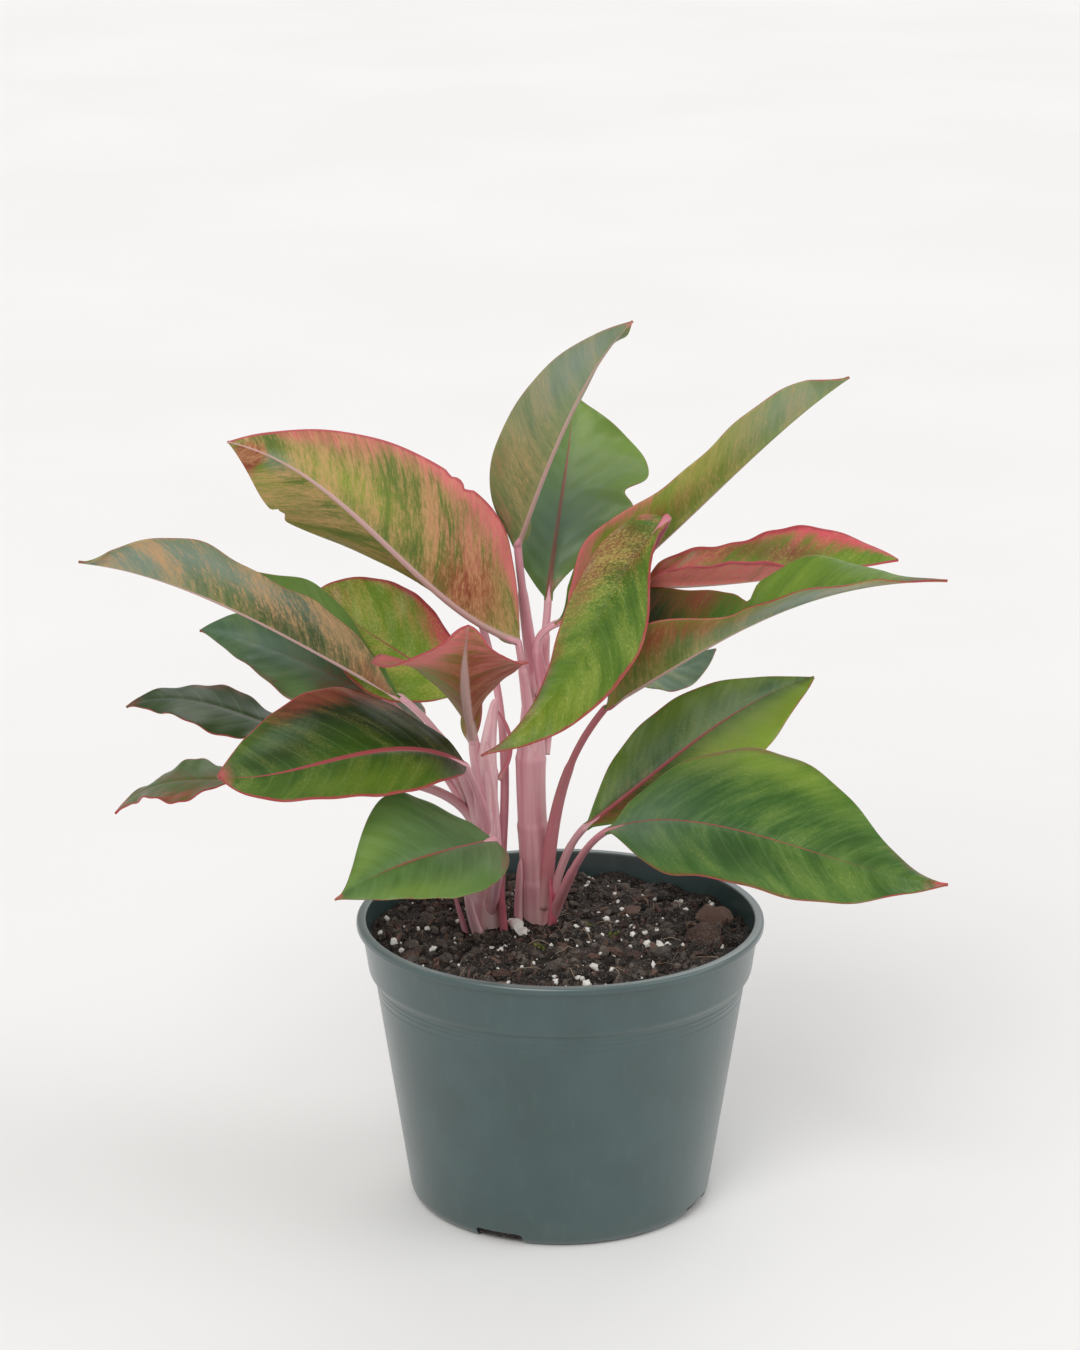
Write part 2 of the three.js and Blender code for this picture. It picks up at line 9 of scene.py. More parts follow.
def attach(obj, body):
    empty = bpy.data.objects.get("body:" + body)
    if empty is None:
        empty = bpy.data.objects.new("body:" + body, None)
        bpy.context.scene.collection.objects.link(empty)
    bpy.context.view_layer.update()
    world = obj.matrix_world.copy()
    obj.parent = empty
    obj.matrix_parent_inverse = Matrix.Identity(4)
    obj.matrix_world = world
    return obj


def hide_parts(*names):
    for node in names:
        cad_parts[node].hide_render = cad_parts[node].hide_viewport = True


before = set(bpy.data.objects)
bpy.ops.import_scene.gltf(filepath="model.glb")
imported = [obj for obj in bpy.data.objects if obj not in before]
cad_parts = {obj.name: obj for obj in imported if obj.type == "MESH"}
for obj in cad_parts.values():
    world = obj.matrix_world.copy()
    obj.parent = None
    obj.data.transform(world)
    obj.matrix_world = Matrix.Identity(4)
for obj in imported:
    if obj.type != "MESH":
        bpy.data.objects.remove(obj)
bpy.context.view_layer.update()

# A potted aglaonema: pink stalks, green leaves with pink edges, dark potting mix, a nursery pot.
# Shapes are worked out in millimetres, and go into the meshes in metres.
# The frame's +Z is up, +Y points away from the viewer, and the origin is under the pot's middle.
MM = 0.001

# Pot, as the frame has it.
POT_HEIGHT = 119.0
LIP_RADIUS = 82.5
LIP_DEPTH = 3.0
LIP_OVERHANG = 2.2
BAND_DEPTH = 21.0
BAND_DRAFT = 2.6
BAND_STEP = 2.6
STEP_DEPTH = 3.0
BASE_RADIUS = 61.0
BASE_ROUND = 3.0
WALL = 1.6
FLOOR = 2.0
POT_SIDES = 200
RIDGE_BELOW_STEP = [1.6, 3.4, 6.2]
RIDGE_HEIGHT = 0.15

# Drain slots through the pot's bottom corner.
DRAIN_FIRST = -24.0
DRAIN_COUNT = 4
DRAIN_WIDTH = 20.0
DRAIN_HEIGHT = 5.0
DRAIN_REACH = 7.0
DRAIN_ROUND = 1.4

# Potting mix.
SOIL_LEVEL = 110.0
SOIL_RELIEF = 1.4
SOIL_GAP = 0.3
SOIL_SIDES = 220
SOIL_RINGS = 78
CRUMB_SEED = 11
CRUMB_COUNT = 1500
CLOD_COUNT = 330
SPLINTER_COUNT = 330
PERLITE_COUNT = 190
BARK_COUNT = 26
FIBRE_COUNT = 60
FIBRE_ROWS = 9
FIBRE_SIDES = 3
MOSS_TUFTS = 16

# Perlite grains, bark chips and moss that are seen, listed one by one: x, y and half their length.
PERLITE_SEEN = [
    (-71, 18, 1.3), (-54, 3, 1.2), (-67, -12, 1.5), (-51, -19, 1.9), (-24, -19, 1.6), (-18, 11, 2.9),
    (-15, 5, 2.1), (19, 19, 1.5), (32, 31, 1.1), (45, 51, 0.8), (63, 35, 1.1), (52, 27, 0.9),
    (29, 13, 1.0), (11, 4, 1.1), (14, -33, 2.2), (35, -6, 2.0), (40, -14, 2.0), (37, -36, 1.2),
    (47, -46, 1.2), (32, -49, 1.0), (-2, -54, 1.5), (7, -52, 1.4), (10, -60, 2.2), (68, -26, 1.2),
]
BARK_SEEN = [(-60, -21, 6.5), (63, 16, 9.0), (58, -3, 8.0), (23, -19, 4.5), (-23, -42, 5.0), (30, -27, 4.0)]
MOSS_SEEN = [(9, 11, 4.0), (-30, 0, 2.5), (-8, -14, 2.5), (22, 0, 3.0)]

# Leaf blades, in millimetres and in shares of the half width or of the length.
BLADE_THICKNESS = 0.8
EDGE_THICKNESS = 0.3
RIM_START = 0.93
RIB_DEPTH = 1.1
RIB_FADE = 0.8
RIB_NARROWS = 0.72
RIB_TIP_FADE = {"upper": 0.75, "under": 0.45}
KEEL_HALF = 1.5
KEEL_NARROWS = 0.8
BLADE_ROWS = 121
BLADE_COLUMNS = 21
BASE_HALF = 1.6
TIP_HALF = 0.4
FULL_FOLD_HALF = 9.0
VEIN_SPACING = 8.5
VEIN_LEAN = 0.62
VEIN_ARCH = 0.4
QUILT_HEIGHT = 0.22
CHANNEL_DEPTH = 0.45
CHANNEL_HALF = 1.6

# Stalks and canes.
STALK_SIDES = 20
STALK_ROWS = 60
STALK_TIP = 1.7
STALK_SLIM = 0.7
STALK_UNDER_BLADE = 0.07
SHEATH_ROWS = 24
CANE_ROWS = 120

# Camera: where the photograph was taken from, its tilt below the horizon, and its lens.
CAMERA_PLACE = (-8.2, -1531.6, 683.6)
CAMERA_TILT = 16.82
CAMERA_LENS = 107.3
CAMERA_SENSOR = 36.0

# Broad lamps far off, so that the floor is evenly lit: where each stands, its spread in degrees,
# its strength and its tint. The sky fills in the rest.
LAMPS = {
    "soft_key": ((-0.35, -0.95, 0.85), 36, 1.5, "#fffefd"),
    "soft_side": ((1.0, -0.2, 0.5), 50, 0.9, "#fcfdff"),
    "soft_back": ((0.2, 1.0, 0.9), 40, 0.45, "#ffffff"),
}
SKY_STRENGTH = 0.6

# The floor: rings of a wide disc, with their radii in metres.
FLOOR_RADII = [0.5, 2.0, 6.0, 12.0]
FLOOR_SIDES = 96

# The canes: points up the axis, the radius at each, the heights of old leaf scars, and the tint
# (red, grey-green and pale, each from 0 to 1).
CANES = {
    # The left cane's strong pale share is partly painted light, for a cane that stands in shade.
    "shoot_left": dict(
        axis=[[-30, 15, 104], [-30, 15, 142], [-30, 14, 174], [-26, 16, 206]],
        radius=[7.5, 5.6, 4.6, 1.6], scars=[121, 137, 158, 176], tint=(0.0, 0.05, 0.9)),
    "shoot_right": dict(
        axis=[[-10, 21, 104], [-11, 21, 144], [-12, 20, 179], [-8, 18, 220]],
        radius=[6.5, 6.1, 6, 4], scars=[126, 151, 180, 203], tint=(0.15, 0.2, 0.25)),
}

# One entry for each leaf.
# rib: four points along the midrib, evenly spaced from the blade's base to its tip.
# face: which way the upper side looks, at the base and at the tip.
# left, right: each half as seen from above with the tip ahead. Its full width, how far along
# it is widest, and how slowly it swells from the base and narrows to the tip (1 is a sine).
# fold: degrees that each half rises from flat, at the base and at the tip.
# curl: more degrees gathered from the midrib out to the edge.
# wave: height of the edge's ripple, ripples along the leaf, and where they start.
# lobe: the same for an outline that swells and narrows, as a share of the width.
# stalk: three points from the cane towards the blade, and root, its radius at the cane.
LEAVES = {
    "blade_01": dict(
        shoot="shoot_right", root=3.2, stalk=[[-11, 18, 180], [-13, 13, 204], [-15, 6, 221]],
        rib=[[-17, 2, 234], [-53, -12, 262], [-87, -28, 300], [-127, -42, 326]],
        face=[[-0.3, 0.95, 0], [-0.4, 0.85, 0.1]], left=[40, 0.36, 0.6, 1.05], right=[30, 0.6, 0.8, 1],
        fold=[[5, 5], [110, 10]], curl=[5, 10], wave=[1.5, 2, 0.3]),
    "blade_02": dict(
        shoot="shoot_right", root=3.2, stalk=[[-9, 20, 200], [-12, 17, 225], [-15, 13, 250]],
        rib=[[-17, 9, 272], [-6, -6, 306], [9, -20, 343], [27, -30, 370]],
        face=[[0, 0.95, 0.2], [0, 0.9, 0.3]], left=[23, 0.4, 0.8, 1.1], right=[22, 0.35, 0.7, 1.05],
        fold=[[80, 70], [8, 15]], curl=[0, 10], wave=[1, 1.5, 0]),
    "blade_03": dict(
        shoot="shoot_right", root=3.2, stalk=[[-7, 22, 205], [-7, 24, 220], [-6, 25, 232]],
        rib=[[-5, 26, 244], [-1, 36, 274], [3, 47, 299], [5, 60, 322]],
        face=[[0, -1, 0.2], [0, -1, 0.1]], left=[26, 0.45, 0.9, 1.2], right=[34, 0.6, 1.3, 1.3],
        fold=[[15, 15], [12, 10]], curl=[0, 0], wave=[2.5, 2, 0]),
    "blade_04": dict(
        shoot="shoot_right", root=3.2, stalk=[[-7, 17, 207], [-9, 14, 222], [-9, 11, 232]],
        rib=[[-2, 10, 239], [37, 8, 271], [75, 8, 308], [113, 12, 339]],
        face=[[-0.6, 0, 0.8], [-0.6, 0, 0.8]], left=[17, 0.3, 1, 0.7], right=[22, 0.3, 1.3, 0.7],
        fold=[[75, 70], [65, 70]], curl=[0, 10], wave=[1, 2, 0], lobe=[0.25, 1.5, 0]),
    "blade_05": dict(
        shoot="shoot_right", root=3.2, stalk=[[-8, 16, 207], [14, 5, 235], [35, 1, 271]],
        rib=[[41, -6, 286], [17, -28, 256], [-1, -44, 228], [-31, -50, 203]],
        face=[[-0.2, -0.8, 0.5], [-0.2, -0.9, 0.3]], left=[23.5, 0.45, 1.4, 1.2], right=[15, 0.2, 0.5, 1.5],
        fold=[[15, 15], [25, 20]], curl=[10, 0], wave=[1.5, 2, 0]),
    "blade_06": dict(
        shoot="shoot_right", root=3, stalk=[[-4, 22, 205], [8, 16, 225], [22, 7, 246]],
        rib=[[34, 2, 257], [65, -4, 260], [96, -5, 264], [133, 0, 268]],
        face=[[0, -0.4, 0.9], [0, -0.3, 0.9]], left=[21, 0.72, 0.35, 0.75], right=[13, 0.3, 0.5, 1],
        fold=[[25, 20], [80, 30]], curl=[0, 20], wave=[1.5, 2, 0]),
    "blade_07": dict(
        shoot="shoot_right", root=3.2, stalk=[[-7, 18, 116], [-3, 14, 151], [4, 6, 181]],
        rib=[[18, -6, 209], [54, -28, 239], [96, -40, 263], [148, -45, 272]],
        face=[[-0.3, 0, 0.9], [-0.1, 0, 1]], left=[26, 0.3, 0.45, 1], right=[21, 0.4, 0.7, 1],
        fold=[[70, 12], [80, 5]], curl=[0, 0], wave=[1.5, 2, 1], lobe=[0.45, 1.92, -1.08]),
    "blade_08": dict(
        shoot="shoot_right", root=2.8, stalk=[[-7, 24, 180], [-4, 28, 200], [0, 32, 214]],
        rib=[[6, 36, 222], [25, 52, 211], [45, 64, 204], [65, 76, 209]],
        face=[[0, -0.5, 0.85], [0, -0.5, 0.85]], left=[15, 0.5, 0.8, 0.9], right=[14, 0.5, 0.8, 0.9],
        fold=[[10, 10], [0, 0]], curl=[0, 0], wave=[1, 2, 0]),
    "blade_09": dict(
        shoot="shoot_right", root=1.8, stalk=[[-5, 18, 112], [0, 12, 134], [5, 6, 148]],
        rib=[[10, 2, 156], [40, 10, 178], [70, 14, 200], [102, 16, 215]],
        face=[[-0.3, -0.8, 0.5], [-0.3, -0.8, 0.5]], left=[20, 0.42, 1, 1.2], right=[27, 0.5, 1, 0.8],
        fold=[[5, 5], [20, 15]], curl=[5, 0], wave=[1.5, 2, 0]),
    "blade_10": dict(
        shoot="shoot_right", root=2.6, stalk=[[-5, 17, 108], [1, 8, 126], [8, -9, 147]],
        rib=[[18, -26, 164], [58, -50, 175], [104, -66, 167], [148, -80, 161]],
        face=[[0, -0.6, 0.8], [0.1, -0.6, 0.8]], left=[41, 0.4, 1.2, 1.6], right=[31, 0.36, 1.1, 0.95],
        fold=[[8, 5], [8, 5]], curl=[-10, 0], wave=[2, 2, 0]),
    "blade_11": dict(
        shoot="shoot_left", root=2.8, stalk=[[-30, 14, 142], [-31, 8, 159], [-34, -2, 174]],
        rib=[[-38, -12, 187], [-69, -40, 202], [-101, -60, 201], [-131, -75, 203]],
        face=[[0, -0.6, 0.8], [0, -0.7, 0.7]], left=[22, 0.35, 0.6, 0.8], right=[33, 0.42, 0.8, 0.75],
        fold=[[5, 5], [5, 5]], curl=[0, -10], wave=[1.5, 2, 0]),
    "blade_12": dict(
        shoot="shoot_left", root=2.6, stalk=[[-29, 12, 115], [-26, 2, 133], [-25, -8, 149]],
        rib=[[-27, -16, 157], [-47, -45, 162], [-68, -62, 160], [-87, -75, 153]],
        face=[[0, -0.7, 0.7], [0, -0.7, 0.7]], left=[23, 0.3, 0.5, 1], right=[29, 0.42, 0.8, 1.9],
        fold=[[5, 5], [10, 5]], curl=[0, 0], wave=[1, 2, 0]),
    "blade_13": dict(
        shoot="shoot_left", root=2.6, stalk=[[-33, 17, 150], [-42, 21, 173], [-70, 25, 183]],
        rib=[[-106, 28, 187], [-128, 34, 193], [-153, 40, 198], [-178, 46, 193]],
        face=[[0, -0.2, 1], [0, -0.2, 1]], left=[19, 0.5, 0.8, 1.2], right=[15, 0.6, 0.7, 1],
        fold=[[0, 0], [0, 0]], curl=[0, 0], wave=[1.5, 2, 0]),
    "blade_14": dict(
        shoot="shoot_left", root=2.4, stalk=[[-34, 14, 142], [-46, 15, 165], [-82, 16, 173]],
        rib=[[-130, 16, 172], [-148, 20, 170], [-165, 24, 166], [-182, 28, 153]],
        face=[[0, -0.1, 1], [0, -0.1, 1]], left=[20, 0.4, 0.8, 1.3], right=[20, 0.4, 0.8, 1.2],
        fold=[[0, 0], [0, 0]], curl=[0, 0], wave=[1.5, 2, 0]),
    "blade_15": dict(
        shoot="shoot_left", root=3, stalk=[[-33, 14, 150], [-38, 12, 172], [-49, 9, 193]],
        rib=[[-64, 5, 210], [-105, 0, 235], [-146, -5, 257], [-189, -10, 270]],
        face=[[0.3, 0, 0.9], [0.3, 0, 0.9]], left=[22, 0.6, 0.7, 0.8], right=[26, 0.3, 0.9, 1.5],
        fold=[[75, 75], [38, 38]], curl=[0, 0], wave=[1.5, 2, 0], lobe=[0.15, 2, 4]),
    "blade_16": dict(
        shoot="shoot_left", root=2.8, stalk=[[-33, 16, 152], [-40, 20, 168], [-53, 25, 185]],
        rib=[[-71, 28, 202], [-96, 34, 212], [-121, 40, 221], [-147, 45, 226]],
        face=[[0.1, -0.6, 0.8], [0.1, -0.6, 0.8]], left=[20, 0.35, 0.7, 1.1], right=[22, 0.5, 0.8, 0.9],
        fold=[[5, 5], [5, 5]], curl=[0, 0], wave=[1.5, 2, 0]),
    "blade_17": dict(
        shoot="shoot_left", root=3, stalk=[[-31, 15, 160], [-33, 16, 178], [-36, 19, 194]],
        rib=[[-40, 22, 208], [-60, 26, 219], [-79, 28, 231], [-101, 32, 243]],
        face=[[0, -0.8, 0.6], [0, -0.8, 0.6]], left=[22, 0.5, 0.6, 0.8], right=[24, 0.6, 0.5, 0.55],
        fold=[[5, 5], [5, 5]], curl=[0, 0], wave=[1.5, 2, 0]),
    "blade_18": dict(
        shoot="shoot_left", root=2.8, stalk=[[-31, 14, 138], [-32, 9, 161], [-34, 2, 180]],
        rib=[[-35, -5, 194], [-37, -28, 217], [-37, -58, 242], [-35, -90, 267]],
        face=[[0, 0.7, 0.7], [0, 0.6, 0.8]], left=[25, 0.65, 1.2, 0.8], right=[36, 0.62, 0.9, 1],
        fold=[[75, -35], [75, -35]], curl=[0, 0], wave=[1, 2, 0]),
    "blade_19": dict(
        shoot="shoot_left", root=1.8, stalk=[[-24, 17, 113], [-23, 20, 150], [-24, 28, 195]],
        rib=[[-39, 45, 249], [-55, 60, 258], [-72, 78, 267], [-89, 95, 277]],
        face=[[0, -0.4, 1], [0, 0.3, 1]], left=[17, 0.42, 0.7, 1.1], right=[17, 0.42, 0.7, 1.1],
        fold=[[20, 10], [20, 10]], curl=[0, 0], wave=[1.5, 2, 0]),
    "blade_20": dict(
        shoot="shoot_left", root=2.6, stalk=[[-32, 18, 146], [-41, 28, 161], [-50, 38, 171]],
        rib=[[-60, 50, 178], [-76, 72, 181], [-92, 94, 174], [-106, 112, 158]],
        face=[[0, 0, 1], [0, 0.3, 1]], left=[24, 0.42, 0.7, 1.1], right=[22, 0.42, 0.7, 1.1],
        fold=[[15, 10], [15, 10]], curl=[0, 0], wave=[1.5, 2, 0]),
}

# The tints that a leaf can take over its plain green: three warm ones and three green ones. The last green
# one is grey, which some leaves also carry as a painted sheen.
TINTS = ["pink", "rust", "fleck", "lime", "deep", "grey_and_sheen"]

# How each leaf is coloured. edge: width of the pink margin on the left and right halves, in mm.
# rib: half the width of the coloured midrib at the base, on the upper side and below.
# faint: how far the midrib's colour fades into the green, on the upper side and below.
# upper, under: the tints of that side, each with its strength all over and then its spots, as
# place along, place across, reach along, reach across and strength.
# quilt: how much the sheet swells between the side veins, as a share of the usual height.
# nicks: small tears in the margin, as half (0 left, 1 right), place along, reach and depth. A
# depth below zero swells the margin instead.
# Some tints and spots below are painted light, painted shade or a painted sheen, each marked where it stands.
LOOKS = {
    "blade_01": dict(
        edge=[1.2, 0.4], rib=[1.2, 1.8], faint=[0, 0.15],
        nicks=[[1, 0.71, 0.02, 0.13], [1, 0.735, 0.009, 0.1], [0, 0.42, 0.012, 0.05],
               [0, 0.47, 0.01, 0.03]],
        upper=dict(lime=[0.2]),
        under=dict(
            pink=[0, (0.16, -1.0, 0.2, 0.2, 1.4), (0.45, -1.0, 0.2, 0.12, 1.0),
                  (0.34, -0.62, 0.14, 0.3, 0.35), (0.75, -0.85, 0.2, 0.25, 0.45)],
            rust=[0, (0.22, -0.3, 0.11, 0.32, 1.0), (0.3, 0.25, 0.16, 0.3, 0.5),
                  (0.84, -0.92, 0.15, 0.2, 0.5), (0.93, 0.45, 0.035, 0.7, 2.0)],
            fleck=[0.85, (0.45, -0.6, 0.25, 0.4, 0.4), (0.6, 0.5, 0.2, 0.4, 0.4)],
            lime=[0.1, (0.66, -0.25, 0.16, 0.25, 0.6), (0.85, 0.6, 0.1, 0.4, 0.4)],
            deep=[0, (0.55, -0.1, 0.25, 0.12, 0.3)], grey_and_sheen=[0, (0.86, 0.05, 0.07, 0.35, 0.5)])),
    "blade_02": dict(
        edge=[0.1, 0.15], rib=[1.0, 1.0], faint=[0, 0.45],
        upper=dict(lime=[0.1]),
        under=dict(
            pink=[0, (0.08, 0.9, 0.1, 0.5, 0.4), (1.0, 0.0, 0.035, 1.0, 1.0)],
            rust=[0, (0.25, 0.85, 0.15, 0.2, 0.25)], fleck=[0.28, (0.3, 0.5, 0.25, 0.4, 0.3)],
            lime=[0, (0.6, 0.2, 0.25, 0.3, 0.4)], grey_and_sheen=[0.28, (0.75, 0.5, 0.25, 0.7, 0.5)])),
    "blade_03": dict(
        edge=[0.1, 0.15], rib=[1.6, 1.4], faint=[0.2, 0],
        nicks=[[1, 0.515, 0.05, 0.24]],
        upper=dict(
            pink=[0, (0.04, 0.4, 0.06, 0.9, 0.5)], rust=[0, (0.3, 0.95, 0.15, 0.2, 0.4)],
            # Painted light: the lime and grey spots about a third of the way along lighten a part that lies
            # in shade, and the large lime spot on the right half is partly a painted sheen.
            lime=[0.5, (0.62, 0.55, 0.35, 0.5, 0.9), (0.3, 0.5, 0.25, 0.5, 0.5)],
            grey_and_sheen=[0.32, (0.3, 0.1, 0.3, 0.9, 0.6)]),
        under=dict(grey_and_sheen=[0.4])),
    "blade_04": dict(
        edge=[0.15, 0.25], rib=[1.0, 0.6], faint=[0, 0.7],
        upper=dict(lime=[0.3]),
        under=dict(
            pink=[0, (0.08, 0.95, 0.13, 0.25, 1.1), (0.3, 0.97, 0.14, 0.12, 0.7)],
            rust=[0, (0.1, 0.3, 0.12, 0.5, 0.8), (0.42, 0.5, 0.1, 0.3, 0.4)],
            fleck=[0.5, (0.22, 0.6, 0.12, 0.4, 0.4)], lime=[0.5, (0.3, 0.6, 0.12, 0.3, 0.5)],
            deep=[0, (0.5, 0.2, 0.35, 0.4, 0.4)], grey_and_sheen=[0, (0.85, 0.5, 0.2, 0.9, 0.6)])),
    "blade_05": dict(
        edge=[1.2, 0.6], rib=[0.5, 1.6], faint=[0.9, 0],
        upper=dict(
            pink=[0, (0.03, 0.8, 0.03, 0.4, 0.6), (0.02, -0.6, 0.03, 0.6, 0.6)],
            rust=[0, (0.97, 0.0, 0.06, 1.0, 0.8), (0.22, 0.8, 0.16, 0.35, 0.9),
                  (0.62, 0.9, 0.14, 0.3, 0.6), (0.13, 0.1, 0.1, 0.6, 0.7), (0.85, 0.6, 0.1, 0.4, 0.4)],
            fleck=[0.55, (0.14, 0.2, 0.14, 0.7, 1.0)], lime=[0.3, (0.78, 0.0, 0.25, 0.9, 0.35)]),
        under=dict(pink=[0.7], fleck=[0.5])),
    "blade_06": dict(
        edge=[2.0, 1.8], rib=[0.6, 1.6], faint=[0.5, 0.4],
        upper=dict(
            pink=[0, (0.08, -0.4, 0.16, 0.8, 0.9), (0.88, -0.85, 0.22, 0.35, 1.1),
                  (0.6, -1.0, 0.25, 0.14, 0.9), (0.32, -0.35, 0.1, 0.3, 0.5)],
            rust=[0, (0.3, -0.85, 0.28, 0.3, 0.8), (0.62, -0.45, 0.16, 0.25, 0.8)], fleck=[0.6],
            lime=[0.5, (0.6, -0.1, 0.3, 0.3, 0.3)]),
        # Painted light: full pink and heavy flecks on the underside lighten the folded flap, which lies in
        # shade.
        under=dict(pink=[1.0], fleck=[1.5], lime=[0, (0.75, 0.3, 0.2, 0.6, 0.5)])),
    "blade_07": dict(
        edge=[0.35, 0.35], rib=[1.0, 1.1], faint=[0, 0.35],
        nicks=[[0, 0.505, 0.022, 0.4], [0, 0.43, 0.06, -0.3], [1, 0.48, 0.03, 0.1]],
        upper=dict(
            rust=[0, (0.36, -0.85, 0.14, 0.4, 0.8), (0.96, 0.0, 0.06, 1.0, 0.9)], fleck=[0.2],
            # Painted shade: the deep spot near the base on the left half darkens the far half where it lies
            # in shadow.
            lime=[0.2, (0.66, -0.5, 0.22, 0.8, 0.35)], deep=[0, (0.2, -0.5, 0.15, 0.9, 0.9)]),
        under=dict(
            rust=[0, (0.27, 0.75, 0.2, 0.4, 0.75), (0.93, 0.0, 0.08, 1.0, 0.6)], fleck=[0.4], lime=[0.2],
            deep=[0, (0.2, 0.35, 0.2, 0.4, 0.4)], grey_and_sheen=[0, (0.65, 0.2, 0.3, 0.6, 0.8)])),
    "blade_08": dict(
        edge=[0.1, 0.1], rib=[0.5, 1.2], faint=[0.9, 0],
        upper=dict(fleck=[0.7], grey_and_sheen=[0.9, (0.5, 0.0, 0.5, 1.0, 0.4)]),
        under=dict(grey_and_sheen=[0.4])),
    "blade_09": dict(
        edge=[0.35, 0.2], rib=[1.4, 1.6], faint=[0.15, 0], quilt=0.5,
        upper=dict(
            rust=[0, (0.12, 0.4, 0.2, 0.5, 0.7)], fleck=[0.3],
            lime=[0.2, (0.65, 0.7, 0.38, 0.5, 1.5), (0.6, -0.8, 0.3, 0.3, 0.4)],
            deep=[0, (0.22, 0.1, 0.25, 0.4, 0.6)],
            # The grey spots on the left half are a painted blue-grey sheen.
            grey_and_sheen=[0.12, (0.72, -0.1, 0.3, 0.7, 0.35), (0.35, -0.4, 0.14, 0.25, 0.3)]),
        under=dict(grey_and_sheen=[0.3])),
    "blade_10": dict(
        edge=[0.15, 0.35], rib=[0.7, 1.6], faint=[0.42, 0], quilt=0.4,
        nicks=[[1, 0.4, 0.13, 0.09]],
        upper=dict(
            pink=[0, (1.0, 0.0, 0.05, 1.0, 1.0)],
            rust=[0, (0.9, -0.9, 0.1, 0.3, 0.5), (0.35, -1.0, 0.2, 0.06, 0.6),
                  (0.45, 1.0, 0.35, 0.05, 0.5)], fleck=[0.25],
            lime=[0.1, (0.42, -0.85, 0.22, 0.2, 0.6), (0.75, 0.2, 0.2, 0.8, 0.15)],
            deep=[0, (0.45, 0.45, 0.25, 0.35, 0.3), (0.25, -0.7, 0.12, 0.3, 0.35)],
            # The grey spot near the base is a painted sheen.
            grey_and_sheen=[0.16, (0.1, 0.1, 0.18, 0.8, 0.5)]),
        under=dict(grey_and_sheen=[0.3])),
    "blade_11": dict(
        edge=[1.2, 0.7], rib=[1.5, 1.8], quilt=0.7,
        upper=dict(
            pink=[0, (1.0, 0.0, 0.05, 1.0, 0.9)], rust=[0, (0.44, 0.92, 0.24, 0.18, 1.2)], fleck=[0.3],
            lime=[0.2, (0.5, -0.65, 0.35, 0.35, 0.3)],
            deep=[0.35, (0.1, 0.7, 0.24, 0.7, 1.6), (0.7, 0.35, 0.2, 0.3, 0.4),
                  (0.42, 0.85, 0.25, 0.3, 1.0), (0.02, -0.3, 0.1, 0.8, 0.8)],
            grey_and_sheen=[0, (0.7, 0.6, 0.2, 0.25, 0.35)]),
        under=dict(pink=[0.2])),
    "blade_12": dict(
        edge=[0.1, 0.15], rib=[0.8, 1.6], faint=[0.42, 0],
        upper=dict(
            pink=[0, (1.0, 0.0, 0.05, 1.0, 0.9)],
            rust=[0, (0.05, -0.9, 0.12, 0.2, 0.6), (0.5, -0.02, 0.3, 0.05, 0.4)],
            lime=[0.25, (0.75, 0.6, 0.25, 0.4, 0.4), (0.6, -0.8, 0.3, 0.3, 0.4)],
            deep=[0.1, (0.25, 0.1, 0.22, 0.7, 0.25)], grey_and_sheen=[0.3]),
        under=dict(grey_and_sheen=[0.3])),
    "blade_13": dict(
        edge=[0.3, 0.5], rib=[0.5, 1.2], faint=[0.8, 0], quilt=0.3,
        upper=dict(
            rust=[0, (0.55, 0.9, 0.15, 0.2, 0.6), (0.97, 0.0, 0.06, 1.0, 0.6)],
            lime=[0.25, (0.6, -0.6, 0.25, 0.3, 0.35)], deep=[0.8]),
        under=dict(grey_and_sheen=[0.3])),
    "blade_14": dict(
        edge=[0.7, 0.7], rib=[0.6, 1.2], faint=[0.6, 0], quilt=0.15,
        upper=dict(
            pink=[0, (0.95, 0.0, 0.1, 1.0, 0.4), (0.4, -0.8, 0.25, 0.3, 0.3)], rust=[0.3], lime=[0.35],
            deep=[0.35]),
        under=dict(pink=[0.4])),
    "blade_15": dict(
        edge=[0.1, 0.15], rib=[0.9, 0.75], faint=[0, 0.15],
        upper=dict(lime=[0.3, (0.45, 0.6, 0.2, 0.4, 0.3)], grey_and_sheen=[0.15, (0.9, 0.3, 0.15, 0.8, 0.6)]),
        under=dict(
            # The strong fleck spot and the grey spot about halfway along, near the left edge, are partly a
            # painted highlight line along that edge.
            rust=[0, (0.08, -0.3, 0.1, 0.6, 0.4)], fleck=[0.6, (0.58, -0.72, 0.25, 0.35, 1.5)],
            lime=[0, (0.4, -0.4, 0.25, 0.4, 0.45)], deep=[0.25, (0.25, -0.4, 0.26, 0.7, 1.2)],
            grey_and_sheen=[0.15, (0.85, -0.3, 0.2, 0.8, 0.6), (0.55, -0.75, 0.25, 0.3, 0.5)])),
    "blade_16": dict(
        edge=[0.1, 0.1], rib=[0.6, 1.3], faint=[0.6, 0],
        upper=dict(
            rust=[0, (0.15, -0.4, 0.2, 0.8, 0.8), (0.5, -0.95, 0.3, 0.15, 0.4)], fleck=[0.25],
            # The grey, above all its spot in the middle, is partly a painted highlight.
            lime=[0, (0.35, -0.7, 0.3, 0.4, 0.6)], deep=[0.25], grey_and_sheen=[0.5, (0.6, 0.0, 0.3, 0.3, 0.7)]),
        under=dict(grey_and_sheen=[0.3])),
    "blade_17": dict(
        edge=[1.0, 1.8], rib=[0.8, 1.6], faint=[0.4, 0],
        upper=dict(
            pink=[0.1, (0.18, 0.92, 0.22, 0.3, 1.2), (0.5, 1.0, 0.3, 0.12, 0.7)],
            # The heavy flecks and the lime are partly the leaf's own yellow-green and partly painted light,
            # for a leaf that lies in the shade of blade_01.
